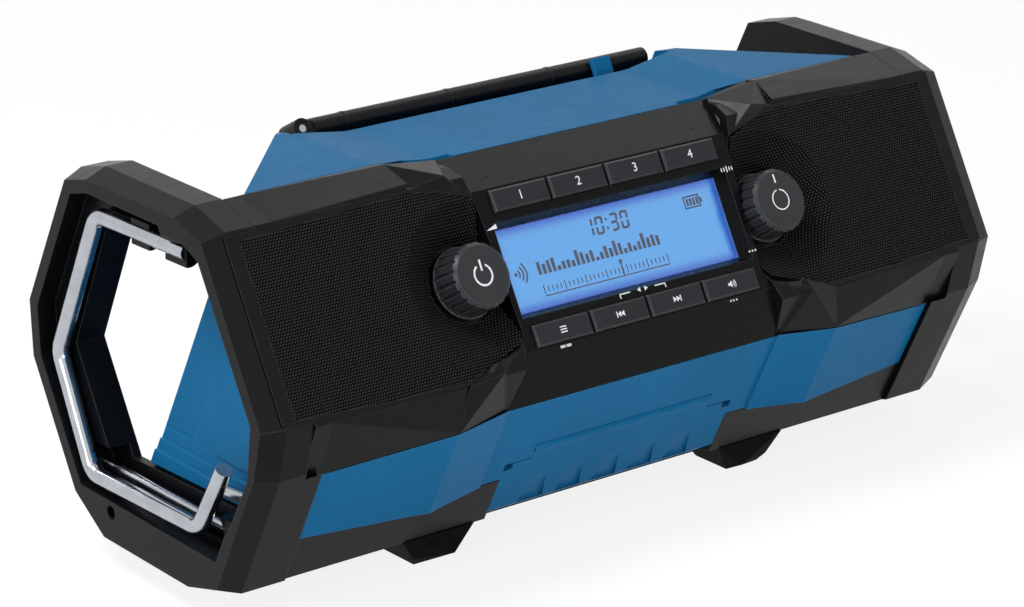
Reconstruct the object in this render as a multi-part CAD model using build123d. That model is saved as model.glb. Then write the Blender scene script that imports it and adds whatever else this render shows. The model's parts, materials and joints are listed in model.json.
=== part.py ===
"""Jobsite radio with an open ring at each end, as separate mouldings and metal parts.

The section is laid out upright, with the speaker face vertical: x runs along the body,
y runs back from the body's axis and z up. The finished pieces are then leaned back, so that
the radio stands on the flat at its lower rear.
"""

from build123d import *
from itertools import combinations
from math import atan2, cos, degrees, hypot, radians, sin
import os

# Overall size and stance
LENGTH = 356.0
DEPTH = 138.0
TILT = 30.0
AXIS_HEIGHT = 80.0
AXIS_BACK = 3.19

# Common thicknesses and clearances
WALL = 3.0
SEAM = 0.3
SLIP = 0.05
PANE = 0.2
BLOCK = 2000.0

# Section of the end rings: each side has an outward angle and a distance from the axis
FACE = DEPTH / 2
FACE_EDGE = 36.8
CHIN_EDGE = 36.8
BROW_ANGLE = 135.6
CHIN_ANGLE = 222.0
CHIN_DROP = 35.0
TOP_ANGLE = 120.0
TOP_SETBACK = 13.34
TOP_EDGE = 50.426
APEX_RADIUS = 77.5
HANDLE_ANGLE = 55.7
HANDLE_RADIUS = 72.9
SHOULDER_RADIUS = FACE + 4.9
LOWER_ANGLE = 235.0
LOWER_PROUD = 2.0
BASE_ANGLE = 301.1
BASE_RADIUS = 71.8
KEEL_ANGLE = 285.0
KEEL_RADIUS = 77.5

# End rings
RING_DEPTH = 20.5
RING_BEVEL_LENGTH = 9.0
RING_BEVEL_DROP = 3.3
RING_LIP = 5.0
ROD_RECESS = 8.0
BAR_RECESS = 17.0
SKIRT_LENGTH = 7.5
SKIRT_WALL = 4.0
FLANGE_DEPTH = 4.4
FLANGE_TOP = 35.5
FLANGE_LOW = 33.5
FLANGE_MARGIN = 7.6

# Housing
SEAM_TOP_SETBACK = 13.1
SEAM_TOP_HEIGHT = 50.3
SEAM_LOW_SETBACK = 19.0
SEAM_LOW_HEIGHT = 51.7
BLUE_LOWER_SETBACK = 19.05
END_CUT_RADIUS = 1.7
END_CUT_RUN = 1.1
DIP = 3.0
DIP_HALF = 67.0
SHOULDER_HALF = 90.5
SHELF_HEIGHT = 70.8
SHELF_HALF = 93.0
SHELF_FRONT = 13.0
LID_ANGLE = 114.0
RIDGE_X = 93.0
RIDGE_RISE = 5.5

# Control panel and buttons
PANEL_FACE = FACE - 1.5
PANEL_TOP = 30.8
PANEL_LOW = 31.0
PANEL_DEPTH = 15.0
PANEL_WALL = 2.5
PANEL_HALF_TOP = 66.3
PANEL_HALF_UPPER = 60.8
PANEL_HALF_LOWER = 58.4
BUTTON_PITCH = 27.5
BUTTON_WIDTH = 26.1
BUTTON_HEIGHT = 8.4
PRESET_HEIGHT = 25.7
MENU_HEIGHT = -25.9
BUTTON_TRAVEL = 1.0
BUTTON_GAP = 0.2
WINDOW_HALF_WIDTH = 54.5
WINDOW_HALF_HEIGHT = 16.2
WINDOW_DEPTH = 5.2
WINDOW_FLARE = 2.0

# Knobs and the dishes round them
KNOB_X = 72.6
KNOB_CAP_RADIUS = 12.3
KNOB_BASE_RADIUS = 13.5
KNOB_LENGTH = 13.1
KNOB_PROUD = 5.5
KNOB_GROOVES = 20
GROOVE_RADIUS = 0.9
KNOB_TRAVEL = 1.0
SHAFT_RADIUS = 3.0
KNOB_NECK_RADIUS = 4.7
DISH_RADIUS = 29.0
DISH_FLOOR_RADIUS = 16.0
DISH_DEPTH = 8.0

# Speakers
GRILLE_THICK = 1.2
GRILLE_MARGIN = 13.5
DRIVER_RADIUS = 26.0
DRIVER_OPENING = 23.0
DRIVER_DEPTH = 34.0
GASKET_THICK = 1.0

# Hook rod in the left ring
ROD_RADIUS = 3.25
ROD_INSET = 4.0
BAR_RADIUS = 2.0
BAR_INSET = 13.0

# Battery door and bay
HINGE_ALONG = -9.5
HINGE_SINK = 2.0
BARREL_RADIUS = 2.6
PIN_RADIUS = 1.0
DOOR_HALF = 56.0
DOOR_NECK_HALF = 43.3
DOOR_THICK = 3.0
DOOR_END = -37.5
DOOR_GROOVE_PITCH = 18.0
PACK_WIDTH = 100.0
PACK_THICK = 31.0
PACK_LENGTH = 66.0

# Aerial
AERIAL_Y = -2.0
AERIAL_RADIUS = 4.0
AERIAL_PIN_RADIUS = 1.5
KNUCKLE_HALF = 3.0
FORK_HALF = 5.6
AERIAL_PIVOT_X = -82.0
AERIAL_TIP_X = 89.0
AERIAL_HEIGHT = 76.4
AERIAL_CLIP_X = 63.5

# Feet
FOOT_X = 78.0
FOOT_TOP_HALF = 17.0
FOOT_SOLE_HALF = 8.0
FOOT_FRONT = -46.0
FOOT_LENGTH = 30.0

END_X = LENGTH / 2
RING_X = END_X - RING_DEPTH
HOUSING_X = RING_X - SEAM


def through(angle, y, z):
    """Side of the section at this outward angle that passes through a point."""
    return (angle, y * cos(radians(angle)) + z * sin(radians(angle)))


REAR_SIDE = (0.0, DEPTH / 2)
REAR_UPPER_SIDE = (25.5, SHOULDER_RADIUS)
HANDLE_SIDE = (HANDLE_ANGLE, HANDLE_RADIUS)
APEX_SIDE = (105.0, APEX_RADIUS)
TOP_SIDE = through(TOP_ANGLE, TOP_SETBACK - FACE, TOP_EDGE)
TOP_RADIUS = TOP_SIDE[1]
BROW_SIDE = through(BROW_ANGLE, -FACE, FACE_EDGE)
FACE_SIDE = (180.0, FACE)
CHIN_SIDE = through(CHIN_ANGLE, -FACE, -CHIN_DROP)
BLUE_LOWER_RADIUS = through(LOWER_ANGLE, BLUE_LOWER_SETBACK - FACE, -SEAM_LOW_HEIGHT)[1]
LOWER_RADIUS = BLUE_LOWER_RADIUS + LOWER_PROUD
LOWER_SIDE = (LOWER_ANGLE, LOWER_RADIUS)
KEEL_SIDE = (KEEL_ANGLE, KEEL_RADIUS)
BASE_SIDE = (BASE_ANGLE, BASE_RADIUS)
REAR_LOWER_SIDE = (333.4, SHOULDER_RADIUS)
RIM = [REAR_SIDE, REAR_UPPER_SIDE, HANDLE_SIDE, APEX_SIDE, TOP_SIDE, BROW_SIDE, FACE_SIDE]
RIM += [CHIN_SIDE, LOWER_SIDE, KEEL_SIDE, BASE_SIDE, REAR_LOWER_SIDE]


def moved(side, inward):
    """The same side, nearer to the axis."""
    return (side[0], side[1] - inward)


def outline(sides, inset=0.0):
    """Corners of the section that the sides close when taken in turn."""
    corners = []
    for side, following in zip(sides, sides[1:] + sides[:1]):
        a, b = radians(side[0]), radians(following[0])
        p, q = side[1] - inset, following[1] - inset
        turn = sin(b - a)
        corners.append(((p * sin(b) - q * sin(a)) / turn, (q * cos(a) - p * cos(b)) / turn))
    return corners


def prism(points, start, end):
    """Straight bar along x on a (y, z) outline."""
    face = Face(Wire.make_polygon([Vector(start, y, z) for y, z in points], close=True))
    return Solid.extrude(face, Vector(end - start, 0, 0))


def front_prism(points, front, back):
    """Straight bar along y on an (x, z) outline, from one depth to another."""
    face = Face(Wire.make_polygon([Vector(x, front, z) for x, z in points], close=True))
    return Solid.extrude(face, Vector(0, back - front, 0))


def box(x0, x1, y0, y1, z0, z1):
    """Block between two corners."""
    return Pos((x0 + x1) / 2, (y0 + y1) / 2, (z0 + z1) / 2) * Box(x1 - x0, y1 - y0, z1 - z0)


def trim(solid, point, normal):
    """What lies behind a plane, seen along its outward normal."""
    return split(solid, bisect_by=Plane(point, z_dir=normal), keep=Keep.BOTTOM)


def hull(*points):
    """Convex block with flat facets that wraps the points."""
    corners = [Vector(*point) for point in points]
    middle = sum(corners, Vector()) / len(corners)
    block = Pos(middle) * Box(BLOCK, BLOCK, BLOCK)
    used = []
    for a, b, c in combinations(corners, 3):
        normal = (b - a).cross(c - a)
        if normal.length < 1e-6:
            continue
        normal = normal.normalized()
        if normal.dot(middle - a) > 0:
            normal = -normal
        if max(normal.dot(corner - a) for corner in corners) > 1e-4:
            continue
        if any((normal - other).length < 1e-4 for other in used):
            continue
        used.append(normal)
        block = trim(block, a, normal)
    return block


def turned(radius, x, y0, y1, z=0.0, end_radius=None):
    """Round bar or cone along y, from one depth to another."""
    length = y1 - y0
    place = Plane((x, y0, z), z_dir=(0, 1, 0))
    if end_radius is None:
        return place * Cylinder(radius, length, align=(Align.CENTER, Align.CENTER, Align.MIN))
    return place * Cone(radius, end_radius, length, align=(Align.CENTER, Align.CENTER, Align.MIN))


def along(radius, x0, x1, y, z):
    """Round bar along x."""
    place = Plane((x0, y, z), z_dir=(1, 0, 0))
    return place * Cylinder(radius, x1 - x0, align=(Align.CENTER, Align.CENTER, Align.MIN))


def mirrored(shape):
    """The same piece at the other end."""
    return mirror(shape, about=Plane.YZ)


def both(shape):
    """A shape and its mirror image."""
    return shape + mirrored(shape)


def surface_point(angle, radius, along_side):
    """(y, z) of a point on a side of the section, measured along it from its middle."""
    a = radians(angle)
    return (radius * cos(a) + along_side * sin(a), radius * sin(a) - along_side * cos(a))


def rod_between(radius, x, start, end, spare=0.0):
    """Round bar in a plane across the body, between two (y, z) points or a little past them."""
    first, last = Vector(x, *start), Vector(x, *end)
    way = (last - first).normalized() * spare
    first, last = first - way, last + way
    place = Plane(first, z_dir=last - first)
    return place * Cylinder(radius, (last - first).length, align=(Align.CENTER, Align.CENTER, Align.MIN))


# Housing section, from the rear round to the seam with the bezel
SEAM_TOP = (SEAM_TOP_SETBACK - FACE, SEAM_TOP_HEIGHT)
SEAM_LOW = (SEAM_LOW_SETBACK - FACE, -SEAM_LOW_HEIGHT)
SEAM_ANGLE = 180.0 + degrees(atan2(SEAM_LOW[0] - SEAM_TOP[0], SEAM_TOP[1] - SEAM_LOW[1]))
SEAM_SIDE = through(SEAM_ANGLE, *SEAM_TOP)
PROUD = 1.5
SKID_WALL = 4.0
HOUSING = [
    moved(REAR_SIDE, PROUD),
    moved(REAR_UPPER_SIDE, PROUD),
    moved(HANDLE_SIDE, PROUD),
    moved(APEX_SIDE, PROUD),
    TOP_SIDE,
    moved(SEAM_SIDE, SEAM),
    (LOWER_ANGLE, BLUE_LOWER_RADIUS),
    KEEL_SIDE,
    BASE_SIDE,
    moved(REAR_LOWER_SIDE, PROUD),
]
CAVITY = [
    moved(REAR_SIDE, PROUD + WALL),
    moved(REAR_UPPER_SIDE, PROUD + WALL),
    moved(HANDLE_SIDE, PROUD + WALL),
    moved(APEX_SIDE, PROUD + WALL + 9.0),
    moved(TOP_SIDE, DIP + WALL),
    moved(SEAM_SIDE, -20.0),
    (LOWER_ANGLE, BLUE_LOWER_RADIUS - SKID_WALL - SEAM - WALL),
    moved(KEEL_SIDE, SKID_WALL + SEAM + WALL),
    moved(BASE_SIDE, SKID_WALL + SEAM + WALL),
    moved(REAR_LOWER_SIDE, PROUD + WALL),
]


# Hinge and edges of the battery door, and the extent of the skid
HINGE = surface_point(LOWER_ANGLE, BLUE_LOWER_RADIUS - HINGE_SINK, HINGE_ALONG)
DOOR_MOUTH = -13.4
DOOR_SHOULDER = HINGE_ALONG - hypot(HINGE_SINK, HINGE_ALONG - DOOR_MOUTH) - PANE
SKID_EDGE = -21.3
SKID_REAR = 36.0
DOOR_TAIL_Y = 0.0
DOOR_TAIL_Z = -79.6
BAY_FLOOR = (-3.314, -74.777)
BAY_LEAN = 28.0
BAY_WALL = 2.0
BAY_GAP = 0.3


def end_cut(block, inward):
    """Slopes both ends of a block from the end wall's upper edge up to the full section."""
    lean = radians(HANDLE_ANGLE)
    run = Vector(1, END_CUT_RUN * cos(lean), END_CUT_RUN * sin(lean)).normalized()
    point = Vector(HOUSING_X, END_CUT_RADIUS * cos(lean), END_CUT_RADIUS * sin(lean)) - run * inward
    block = trim(block, point, run)
    return trim(block, Vector(-point.X, point.Y, point.Z), Vector(-run.X, run.Y, run.Z))


def skid_shell(half_length, wall, edge, outer_gap):
    """Shell under the keel and the base, up the lower slope as far as its edge."""
    sides = [(LOWER_ANGLE, BLUE_LOWER_RADIUS), KEEL_SIDE, BASE_SIDE]
    lid = (LID_ANGLE, 0.0)
    outer = prism(outline([moved(side, -outer_gap) for side in sides] + [lid]), -half_length, half_length)
    inner = prism(outline([moved(side, wall) for side in sides] + [lid]), -BLOCK, BLOCK)
    shell = outer - inner
    low = radians(LOWER_ANGLE)
    front = surface_point(LOWER_ANGLE, BLUE_LOWER_RADIUS, edge)
    shell = trim(shell, Vector(0, *front), Vector(0, sin(low), -cos(low)))
    base = radians(BASE_ANGLE)
    rear = surface_point(BASE_ANGLE, BASE_RADIUS, -SKID_REAR)
    return trim(shell, Vector(0, *rear), Vector(0, -sin(base), cos(base)))


# Screws
SCREW_RADIUS = 1.5
SCREW_HEAD_RADIUS = 2.6
SCREW_HEAD_THICK = 2.4
RING_SCREW_SINK = 12.0
RING_SCREW_LENGTH = 16.0
RING_SCREW = (45.7, -39.1)
RING_SCREW_BOSS_RADIUS = 3.5
RING_SCREW_BOSS_LENGTH = 6.0
CASE_SCREW_X = 70.0
CASE_SCREW_Z = 43.5
CASE_SCREW_LENGTH = 16.0
COLUMN_RADIUS = 4.5
COLUMN_FRONT = 18.8
WELL_RADIUS = 3.2
WELL_BACK = 27.0

# Hand opening of a ring, and the recesses for the rod and the bar in the left one
OPENING = [
    (8.5 - FACE, 30.0),
    (14.0 - FACE, 38.0),
    (0.0, 60.0),
    (47.0, 25.0),
    (47.0, -22.0),
    (-26.0, -62.0),
    (-49.0, -47.0),
    (8.0 - FACE, -30.0),
]
RECESS_BASE = 52.8
RECESS_FRONT = 43.0
TROUGH_INNER = 38.0
TROUGH_FRONT = 12.0
LIP = RING_BEVEL_DROP + RING_LIP
REAR_SIDES = [moved(side, LIP) for side in (REAR_SIDE, REAR_UPPER_SIDE, HANDLE_SIDE, APEX_SIDE, TOP_SIDE)]
RECESS = REAR_SIDES + [
    (180.0, RECESS_FRONT),
    moved(LOWER_SIDE, LIP),
    (BASE_ANGLE, RECESS_BASE),
]
TROUGH = [
    moved(REAR_SIDE, LIP),
    (BASE_ANGLE - 180.0, -TROUGH_INNER),
    (180.0, TROUGH_FRONT),
    (BASE_ANGLE, RECESS_BASE),
]

# Hook rod: corners of its centre line, then the bar and the pin beside it
ROD_X = -(END_X - ROD_INSET)
BAR_X = -(END_X - BAR_INSET)
ROD_START = (-51.0, 35.1)
ROD_TOP = (-0.3, 63.0)
ROD_ROUTE = [ROD_START, ROD_TOP, (53.0, 24.4), (56.2, -22.9), (-3.3, -56.0), (-30.5, -39.9)]
ROD_BEND = 8.0
BOSS_RADIUS = 5.5
BOSS_SPAN = (0.0, 13.0)
CLIP_RADIUS = 5.0
COLLAR_WRAP = 1.3
CLIP_SPAN = (23.0, 34.0)
BAR_ENDS = [(63.6, -17.5), (-15.0, -63.5)]
PIN_ENDS = [(-12.0, -45.5), (-38.0, -57.7)]
STOP_PIN_RADIUS = 2.4


def rod_point(distance):
    """(y, z) on the rod's top run, this far from its start."""
    run = Vector(ROD_TOP[0] - ROD_START[0], ROD_TOP[1] - ROD_START[1]).normalized()
    return (ROD_START[0] + run.X * distance, ROD_START[1] + run.Y * distance)


def end_ring():
    """Right-hand ring: bevelled outline, hand opening, skirt under the body, seat for the bezel."""
    bevel_x = END_X - RING_BEVEL_LENGTH
    ring = prism(outline(RIM), RING_X, bevel_x)
    rim = [Vector(bevel_x, y, z) for y, z in outline(RIM)]
    crown = [Vector(END_X, y, z) for y, z in outline(RIM, RING_BEVEL_DROP)]
    loops = [Wire.make_polygon(rim, close=True), Wire.make_polygon(crown, close=True)]
    ring += Solid.make_loft(loops, ruled=True)
    under = [LOWER_SIDE, KEEL_SIDE, BASE_SIDE]
    skirt = prism(outline(under + [(LID_ANGLE, 0.0)]), RING_X - SKIRT_LENGTH, RING_X)
    skirt -= prism(outline([moved(side, SKIRT_WALL) for side in under] + [(LID_ANGLE, 20.0)]), 0, END_X)
    skirt = trim(skirt, Vector(0, 0, -SEAM_LOW_HEIGHT - SEAM), Vector(0, 0, 1))
    ring += skirt
    ring -= prism(OPENING, 0, END_X)
    seat_x = END_X - FLANGE_MARGIN + SEAM
    seat_y = FLANGE_DEPTH + SEAM - FACE
    ring -= box(0, seat_x, -FACE - 1, seat_y, -FLANGE_LOW - SEAM, FLANGE_TOP + SEAM)
    ring -= along(SCREW_HEAD_RADIUS + SLIP, END_X - RING_SCREW_SINK, END_X, *RING_SCREW)
    return ring - along(SCREW_RADIUS + SLIP, 0, END_X, *RING_SCREW)


def hook_ring():
    """Left-hand ring: the same moulding, recessed for the hook rod, the bar and the pin."""
    ring = mirrored(end_ring())
    ring -= prism(outline(RECESS), ROD_RECESS - END_X, -BLOCK)
    ring -= prism(outline(TROUGH), BAR_RECESS - END_X, -BLOCK)
    for radius, span in ((BOSS_RADIUS, BOSS_SPAN), (CLIP_RADIUS, CLIP_SPAN)):
        seat = [rod_point(distance) for distance in span]
        ring -= rod_between(radius + PANE, ROD_X, *seat, spare=PANE)
    ring -= rod_between(BAR_RADIUS + SLIP, BAR_X, *BAR_ENDS, spare=PANE)
    return ring - rod_between(STOP_PIN_RADIUS + SLIP, BAR_X, *PIN_ENDS, spare=PANE)


def rod_collar(radius, span, floor):
    """Snap bearing that wraps the rod's top run from behind, with or without a floor."""
    collar = rod_between(radius, ROD_X, rod_point(span[0]), rod_point(span[1]))
    collar -= rod_between(ROD_RADIUS + SLIP, ROD_X, rod_point(span[0] + floor), rod_point(span[1] + 1))
    return trim(collar, Vector(ROD_X - COLLAR_WRAP, 0, 0), Vector(-1, 0, 0))


def hook_rod():
    """Steel rod bent round the ring, with its free end turned up into the opening."""
    first = rod_point(BOSS_SPAN[0] + 3 * PANE)
    route = [Vector(ROD_X, *first)] + [Vector(ROD_X, y, z) for y, z in ROD_ROUTE[1:]]
    path = FilletPolyline(*route, radius=ROD_BEND)
    start = Plane(route[0], z_dir=route[1] - route[0])
    return sweep(start * Circle(ROD_RADIUS), path=path)


def dish(shift):
    """Cone that fills the dish round the right knob, set back by a shift."""
    lead = 4.0
    slope = (DISH_RADIUS - DISH_FLOOR_RADIUS) / DISH_DEPTH
    front = shift - FACE - lead
    wide = DISH_RADIUS + lead * slope
    return turned(wide, KNOB_X, front, front + lead + DISH_DEPTH, 0.0, DISH_FLOOR_RADIUS)


GRILLE_X = END_X - GRILLE_MARGIN
GRILLE_CLEAR = 0.9
GRILLE = [
    (GRILLE_X, 32.6),
    (89.5, FACE_EDGE - 1.0),
    (75.4, 33.2),
    (PANEL_HALF_UPPER + GRILLE_CLEAR + 1.0, 28.0),
    (PANEL_HALF_UPPER + GRILLE_CLEAR, 22.5),
    (PANEL_HALF_LOWER + GRILLE_CLEAR, -22.5),
    (PANEL_HALF_LOWER + GRILLE_CLEAR + 2.0, -26.7),
    (74.2, -31.2),
    (89.5, 1.2 - CHIN_EDGE),
    (120.0, -35.0),
    (GRILLE_X, -32.6),
]
GRILLE_SEAT = GRILLE_THICK + PANE
DRIVER_X = HOUSING_X - WALL - 2.0 - DRIVER_RADIUS
PLATE_BACK = FLANGE_DEPTH - FACE
KNOB_FLOOR = 1.6 + DISH_DEPTH - FACE
FLOOR_THICK = 2.0


def grille():
    """Right grille: a flat sheet formed into a dish round the knob."""
    sheet = front_prism(GRILLE, -FACE, GRILLE_THICK - FACE)
    cup = trim(dish(GRILLE_THICK + PANE), Vector(0, -FACE, 0), Vector(0, -1, 0))
    sheet += cup & front_prism(GRILLE, -FACE, 0)
    sheet -= dish(0)
    return sheet - turned(KNOB_BASE_RADIUS + 1.3, KNOB_X, -FACE, 0)


BEZEL_BACK = (SEAM_ANGLE - 180.0, -SEAM_SIDE[1])
BEZEL_CHIN = through(180.0 + degrees(atan2(SEAM_LOW_SETBACK, SEAM_LOW_HEIGHT - CHIN_EDGE)), -FACE, -CHIN_EDGE)
BUMPER_BACK = 16.0
WEDGE_END = 150.0
PANEL_BACK = PANEL_DEPTH - FACE
BUMPER_END = 90.3
BUMPER_BED_TOP = 49.9
BUMPER_PEAK = [(BUMPER_END, -7.6, 48.7), (66.0, -10.5, 46.6), (75.0, 3.8, 38.5)]
UPPER_BUMPER = [
    (BUMPER_END, -7.6, 48.7),
    (66.0, -10.5, 46.6),
    (75.0, 3.8, 38.5),
    (75.4, 0.0, 33.2),
    (86.0, -3.2, 41.3),
    (89.0, -1.0, 37.2),
    (62.0, -2.0, 28.0),
    (60.8, -7.0, 22.5),
    (91.0, -BUMPER_BACK, 49.6),
    (66.0, -BUMPER_BACK, 46.5),
    (62.0, -BUMPER_BACK, 28.0),
    (60.8, -BUMPER_BACK, 22.5),
]
BROW_WEDGE = [
    (BUMPER_END, -7.6, 48.7),
    (BUMPER_END, -13.0, 50.3),
    (88.6, 0.2, 39.0),
    (88.8, -1.0, 37.2),
    (88.8, -13.0, 37.2),
    (WEDGE_END, -13.0, 50.2),
    (WEDGE_END, 0.0, FACE_EDGE),
    (WEDGE_END, -13.0, FACE_EDGE),
]
LOWER_BUMPER_END = 92.6
LOWER_BUMPER = [
    (62.0, -1.7, -26.7),
    (74.2, 2.8, -31.2),
    (75.9, 4.1, -36.3),
    (89.7, 0.9, -37.4),
    (68.6, -12.3, -47.7),
    (92.6, -9.7, -SEAM_LOW_HEIGHT),
    (58.2, -2.3, -22.5),
    (66.0, -BUMPER_BACK, -49.0),
    (58.4, -BUMPER_BACK, -22.5),
    (92.6, -BUMPER_BACK, -SEAM_LOW_HEIGHT),
]
CHIN_RIDGE = [
    (HOUSING_X - SKIRT_LENGTH, -SEAM_LOW_SETBACK, -SEAM_LOW_HEIGHT),
    (HOUSING_X - SKIRT_LENGTH, 0.0, -CHIN_EDGE),
    (89.7, 0.0, -37.4),
    (92.6, -9.7, -SEAM_LOW_HEIGHT),
    (HOUSING_X - SKIRT_LENGTH, -6.0, -CHIN_EDGE),
    (89.7, -6.0, -CHIN_EDGE),
    (92.6, -SEAM_LOW_SETBACK + 1.0, -SEAM_LOW_HEIGHT),
]
PANEL_UPPER_CORNER = (13.3 - FACE, 46.8)
PANEL_LOWER_CORNER = (14.1 - FACE, -48.2)
LIP_TOP = PANEL_LOWER_CORNER[1] - SEAM


def panel_outline(gap, reach):
    """Front view of the control panel, outset by a gap, with its ends drawn out by a reach."""
    right = [
        (PANEL_HALF_TOP + gap, PANEL_UPPER_CORNER[1] + gap + reach),
        (PANEL_HALF_TOP + gap, PANEL_UPPER_CORNER[1] + gap),
        (PANEL_HALF_UPPER + gap, 22.5),
        (PANEL_HALF_LOWER + gap, -22.5),
        (PANEL_HALF_TOP + gap, PANEL_LOWER_CORNER[1] - gap),
        (PANEL_HALF_TOP + gap, PANEL_LOWER_CORNER[1] - gap - reach),
    ]
    return right + [(-x, z) for x, z in reversed(right)]


def set_back(points):
    """Points given as (x, how far they stand proud of the face, z)."""
    return [(x, -FACE - proud, z) for x, proud, z in points]


def under_bumper(block, gap):
    """The part of a block below the line that falls from the panel's lip to the bumper's foot."""
    low = -SEAM_LOW_HEIGHT - SEAM
    fall = Vector(LOWER_BUMPER_END - PANEL_HALF_TOP, 0, low - LIP_TOP)
    return trim(block, Vector(PANEL_HALF_TOP, 0, LIP_TOP + gap), Vector(-fall.Z, 0, fall.X).normalized())


def cut_above(points, block):
    """The part of a block above the plane through three points."""
    a, b, c = [Vector(*point) for point in set_back(points)]
    down = (b - a).cross(c - a).normalized()
    if down.Z > 0:
        down = -down
    return trim(block, a, down)


BOARD_FRONT = 19.0 - FACE
BOARD_THICK = 1.6
BOARD_HALF_WIDTH = 84.0
BOARD_HALF_HEIGHT = 38.0
BOARD_POST = (76.0, 35.0)
POST_RADIUS = 2.5
POST_FOOT = 13.0
BAR_THICK = 3.0
BAR_HALF = 75.0
BAR_TOP = 44.0
BAR_LOW = 37.0


def slope_bar(profile, start, end):
    """Bar up the top slope on an outline of (x, radius) points."""
    points = [Vector(x, *surface_point(TOP_ANGLE, radius, start)) for x, radius in profile]
    face = Face(Wire.make_polygon(points, close=True))
    way = Vector(0, *surface_point(TOP_ANGLE, 0, end - start))
    return Solid.extrude(face, way)


def shoulder_dip():
    """What the sunken middle of the top slope takes from the housing and the bezel."""
    shoulder = SHOULDER_HALF + (SHOULDER_HALF - DIP_HALF)
    profile = [
        (-shoulder, TOP_RADIUS + DIP),
        (shoulder, TOP_RADIUS + DIP),
        (DIP_HALF, TOP_RADIUS - DIP),
        (-DIP_HALF, TOP_RADIUS - DIP),
    ]
    return slope_bar(profile, -60.0, 60.0)


def front_bezel():
    """Shallow tray that carries the grilles, with a faceted bumper at each panel corner."""
    tray = prism(outline([BEZEL_BACK, BROW_SIDE, FACE_SIDE, BEZEL_CHIN]), -HOUSING_X, HOUSING_X)
    inner_x = HOUSING_X - WALL
    inner = [
        moved(BEZEL_BACK, -10.0),
        moved(BROW_SIDE, WALL),
        moved(FACE_SIDE, FLANGE_DEPTH),
        moved(BEZEL_CHIN, WALL),
    ]
    tray -= prism(outline(inner), -inner_x, inner_x)
    edge_x = END_X - FLANGE_MARGIN
    tray += box(-edge_x, edge_x, -FACE, PLATE_BACK, -FLANGE_LOW, FLANGE_TOP)
    tray -= shoulder_dip()
    tray -= both(cut_above(BUMPER_PEAK, box(PANEL_HALF_TOP - 1, BUMPER_END, -FACE, 0, 0, FACE)))
    extra = hull(*set_back(UPPER_BUMPER))
    extra += hull(*set_back(BROW_WEDGE))
    extra += hull(*set_back(LOWER_BUMPER))
    extra += hull(*set_back(CHIN_RIDGE))
    extra += trim(dish(1.6 + FLOOR_THICK), Vector(0, -FACE, 0), Vector(0, -1, 0))
    extra += turned(POST_RADIUS, BOARD_POST[0], POST_FOOT - FACE, BOARD_FRONT - PANE / 2, BOARD_POST[1])
    extra += turned(POST_RADIUS, BOARD_POST[0], POST_FOOT - FACE, BOARD_FRONT - PANE / 2, -BOARD_POST[1])
    tray += both(extra)
    bar_y = PANEL_BACK + 2 * PANE
    tray += box(-BAR_HALF, BAR_HALF, bar_y, bar_y + BAR_THICK, BAR_LOW, BAR_TOP)
    tray += box(-BAR_HALF, BAR_HALF, bar_y, bar_y + BAR_THICK, -BAR_TOP, -BAR_LOW)
    seat = front_prism(GRILLE, -FACE - 8, GRILLE_SEAT - FACE)
    seat += dish(1.6)
    seat += turned(DRIVER_OPENING, DRIVER_X, -FACE, 0)
    seat += turned(KNOB_NECK_RADIUS, KNOB_X, -FACE, 0)
    for z in (-CASE_SCREW_Z, CASE_SCREW_Z):
        seat += turned(SCREW_RADIUS + SLIP, CASE_SCREW_X, WELL_BACK - FACE - CASE_SCREW_LENGTH - 1, 0, z)
    tray -= both(seat)
    tray -= front_prism(panel_outline(PANE, 12.0), -FACE - 10, bar_y)
    lip_half = PANEL_HALF_TOP + PANE
    lip_block = box(lip_half, LOWER_BUMPER_END, -FACE, 0, -SEAM_LOW_HEIGHT - 2, LIP_TOP + 2)
    tray -= both(under_bumper(lip_block, SEAM))
    return tray - box(-lip_half, lip_half, -FACE, 0, -SEAM_LOW_HEIGHT - 1, PANEL_LOWER_CORNER[1])


def side_between(first, second):
    """Side of a section through two (y, z) points taken in turn about the axis."""
    angle = degrees(atan2(second[1] - first[1], second[0] - first[0])) - 90.0
    return through(angle % 360.0, *first)


PANEL = [
    (0.0, PANEL_BACK),
    (90.0, PANEL_UPPER_CORNER[1]),
    side_between(PANEL_UPPER_CORNER, (-PANEL_FACE, PANEL_TOP)),
    (180.0, PANEL_FACE),
    side_between((-PANEL_FACE, -PANEL_LOW), PANEL_LOWER_CORNER),
    (270.0, -PANEL_LOWER_CORNER[1]),
]
BUTTON_ROWS = {"preset": PRESET_HEIGHT, "menu": MENU_HEIGHT}
BUTTON_PLACES = [BUTTON_PITCH * (place - 1.5) for place in range(4)]
STEM_RADIUS = 1.5
SWITCH_HEIGHT = 2.2
SWITCH_BOARD_FRONT = PANEL_BACK - PANE
DISPLAY_CENTRE = -0.3
POST_AT = (50.0, 34.0)


def window_frame(grow):
    """Tapered block round the display window, wider towards the face."""
    wide, high = WINDOW_HALF_WIDTH + grow, WINDOW_HALF_HEIGHT + grow
    back = WINDOW_DEPTH + 1.8 - PANEL_FACE
    slope = WINDOW_FLARE / WINDOW_DEPTH
    corners = []
    for y, more in ((-PANEL_FACE, WINDOW_FLARE), (WINDOW_DEPTH - PANEL_FACE, 0.0), (back, 0.0)):
        for x in (-wide - more, wide + more):
            for z in (DISPLAY_CENTRE - high - more, DISPLAY_CENTRE + high + more):
                corners.append((x, y, z))
    front = hull(*corners[:8])
    return front + box(-wide, wide, WINDOW_DEPTH - PANEL_FACE, back, DISPLAY_CENTRE - high, DISPLAY_CENTRE + high)


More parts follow.
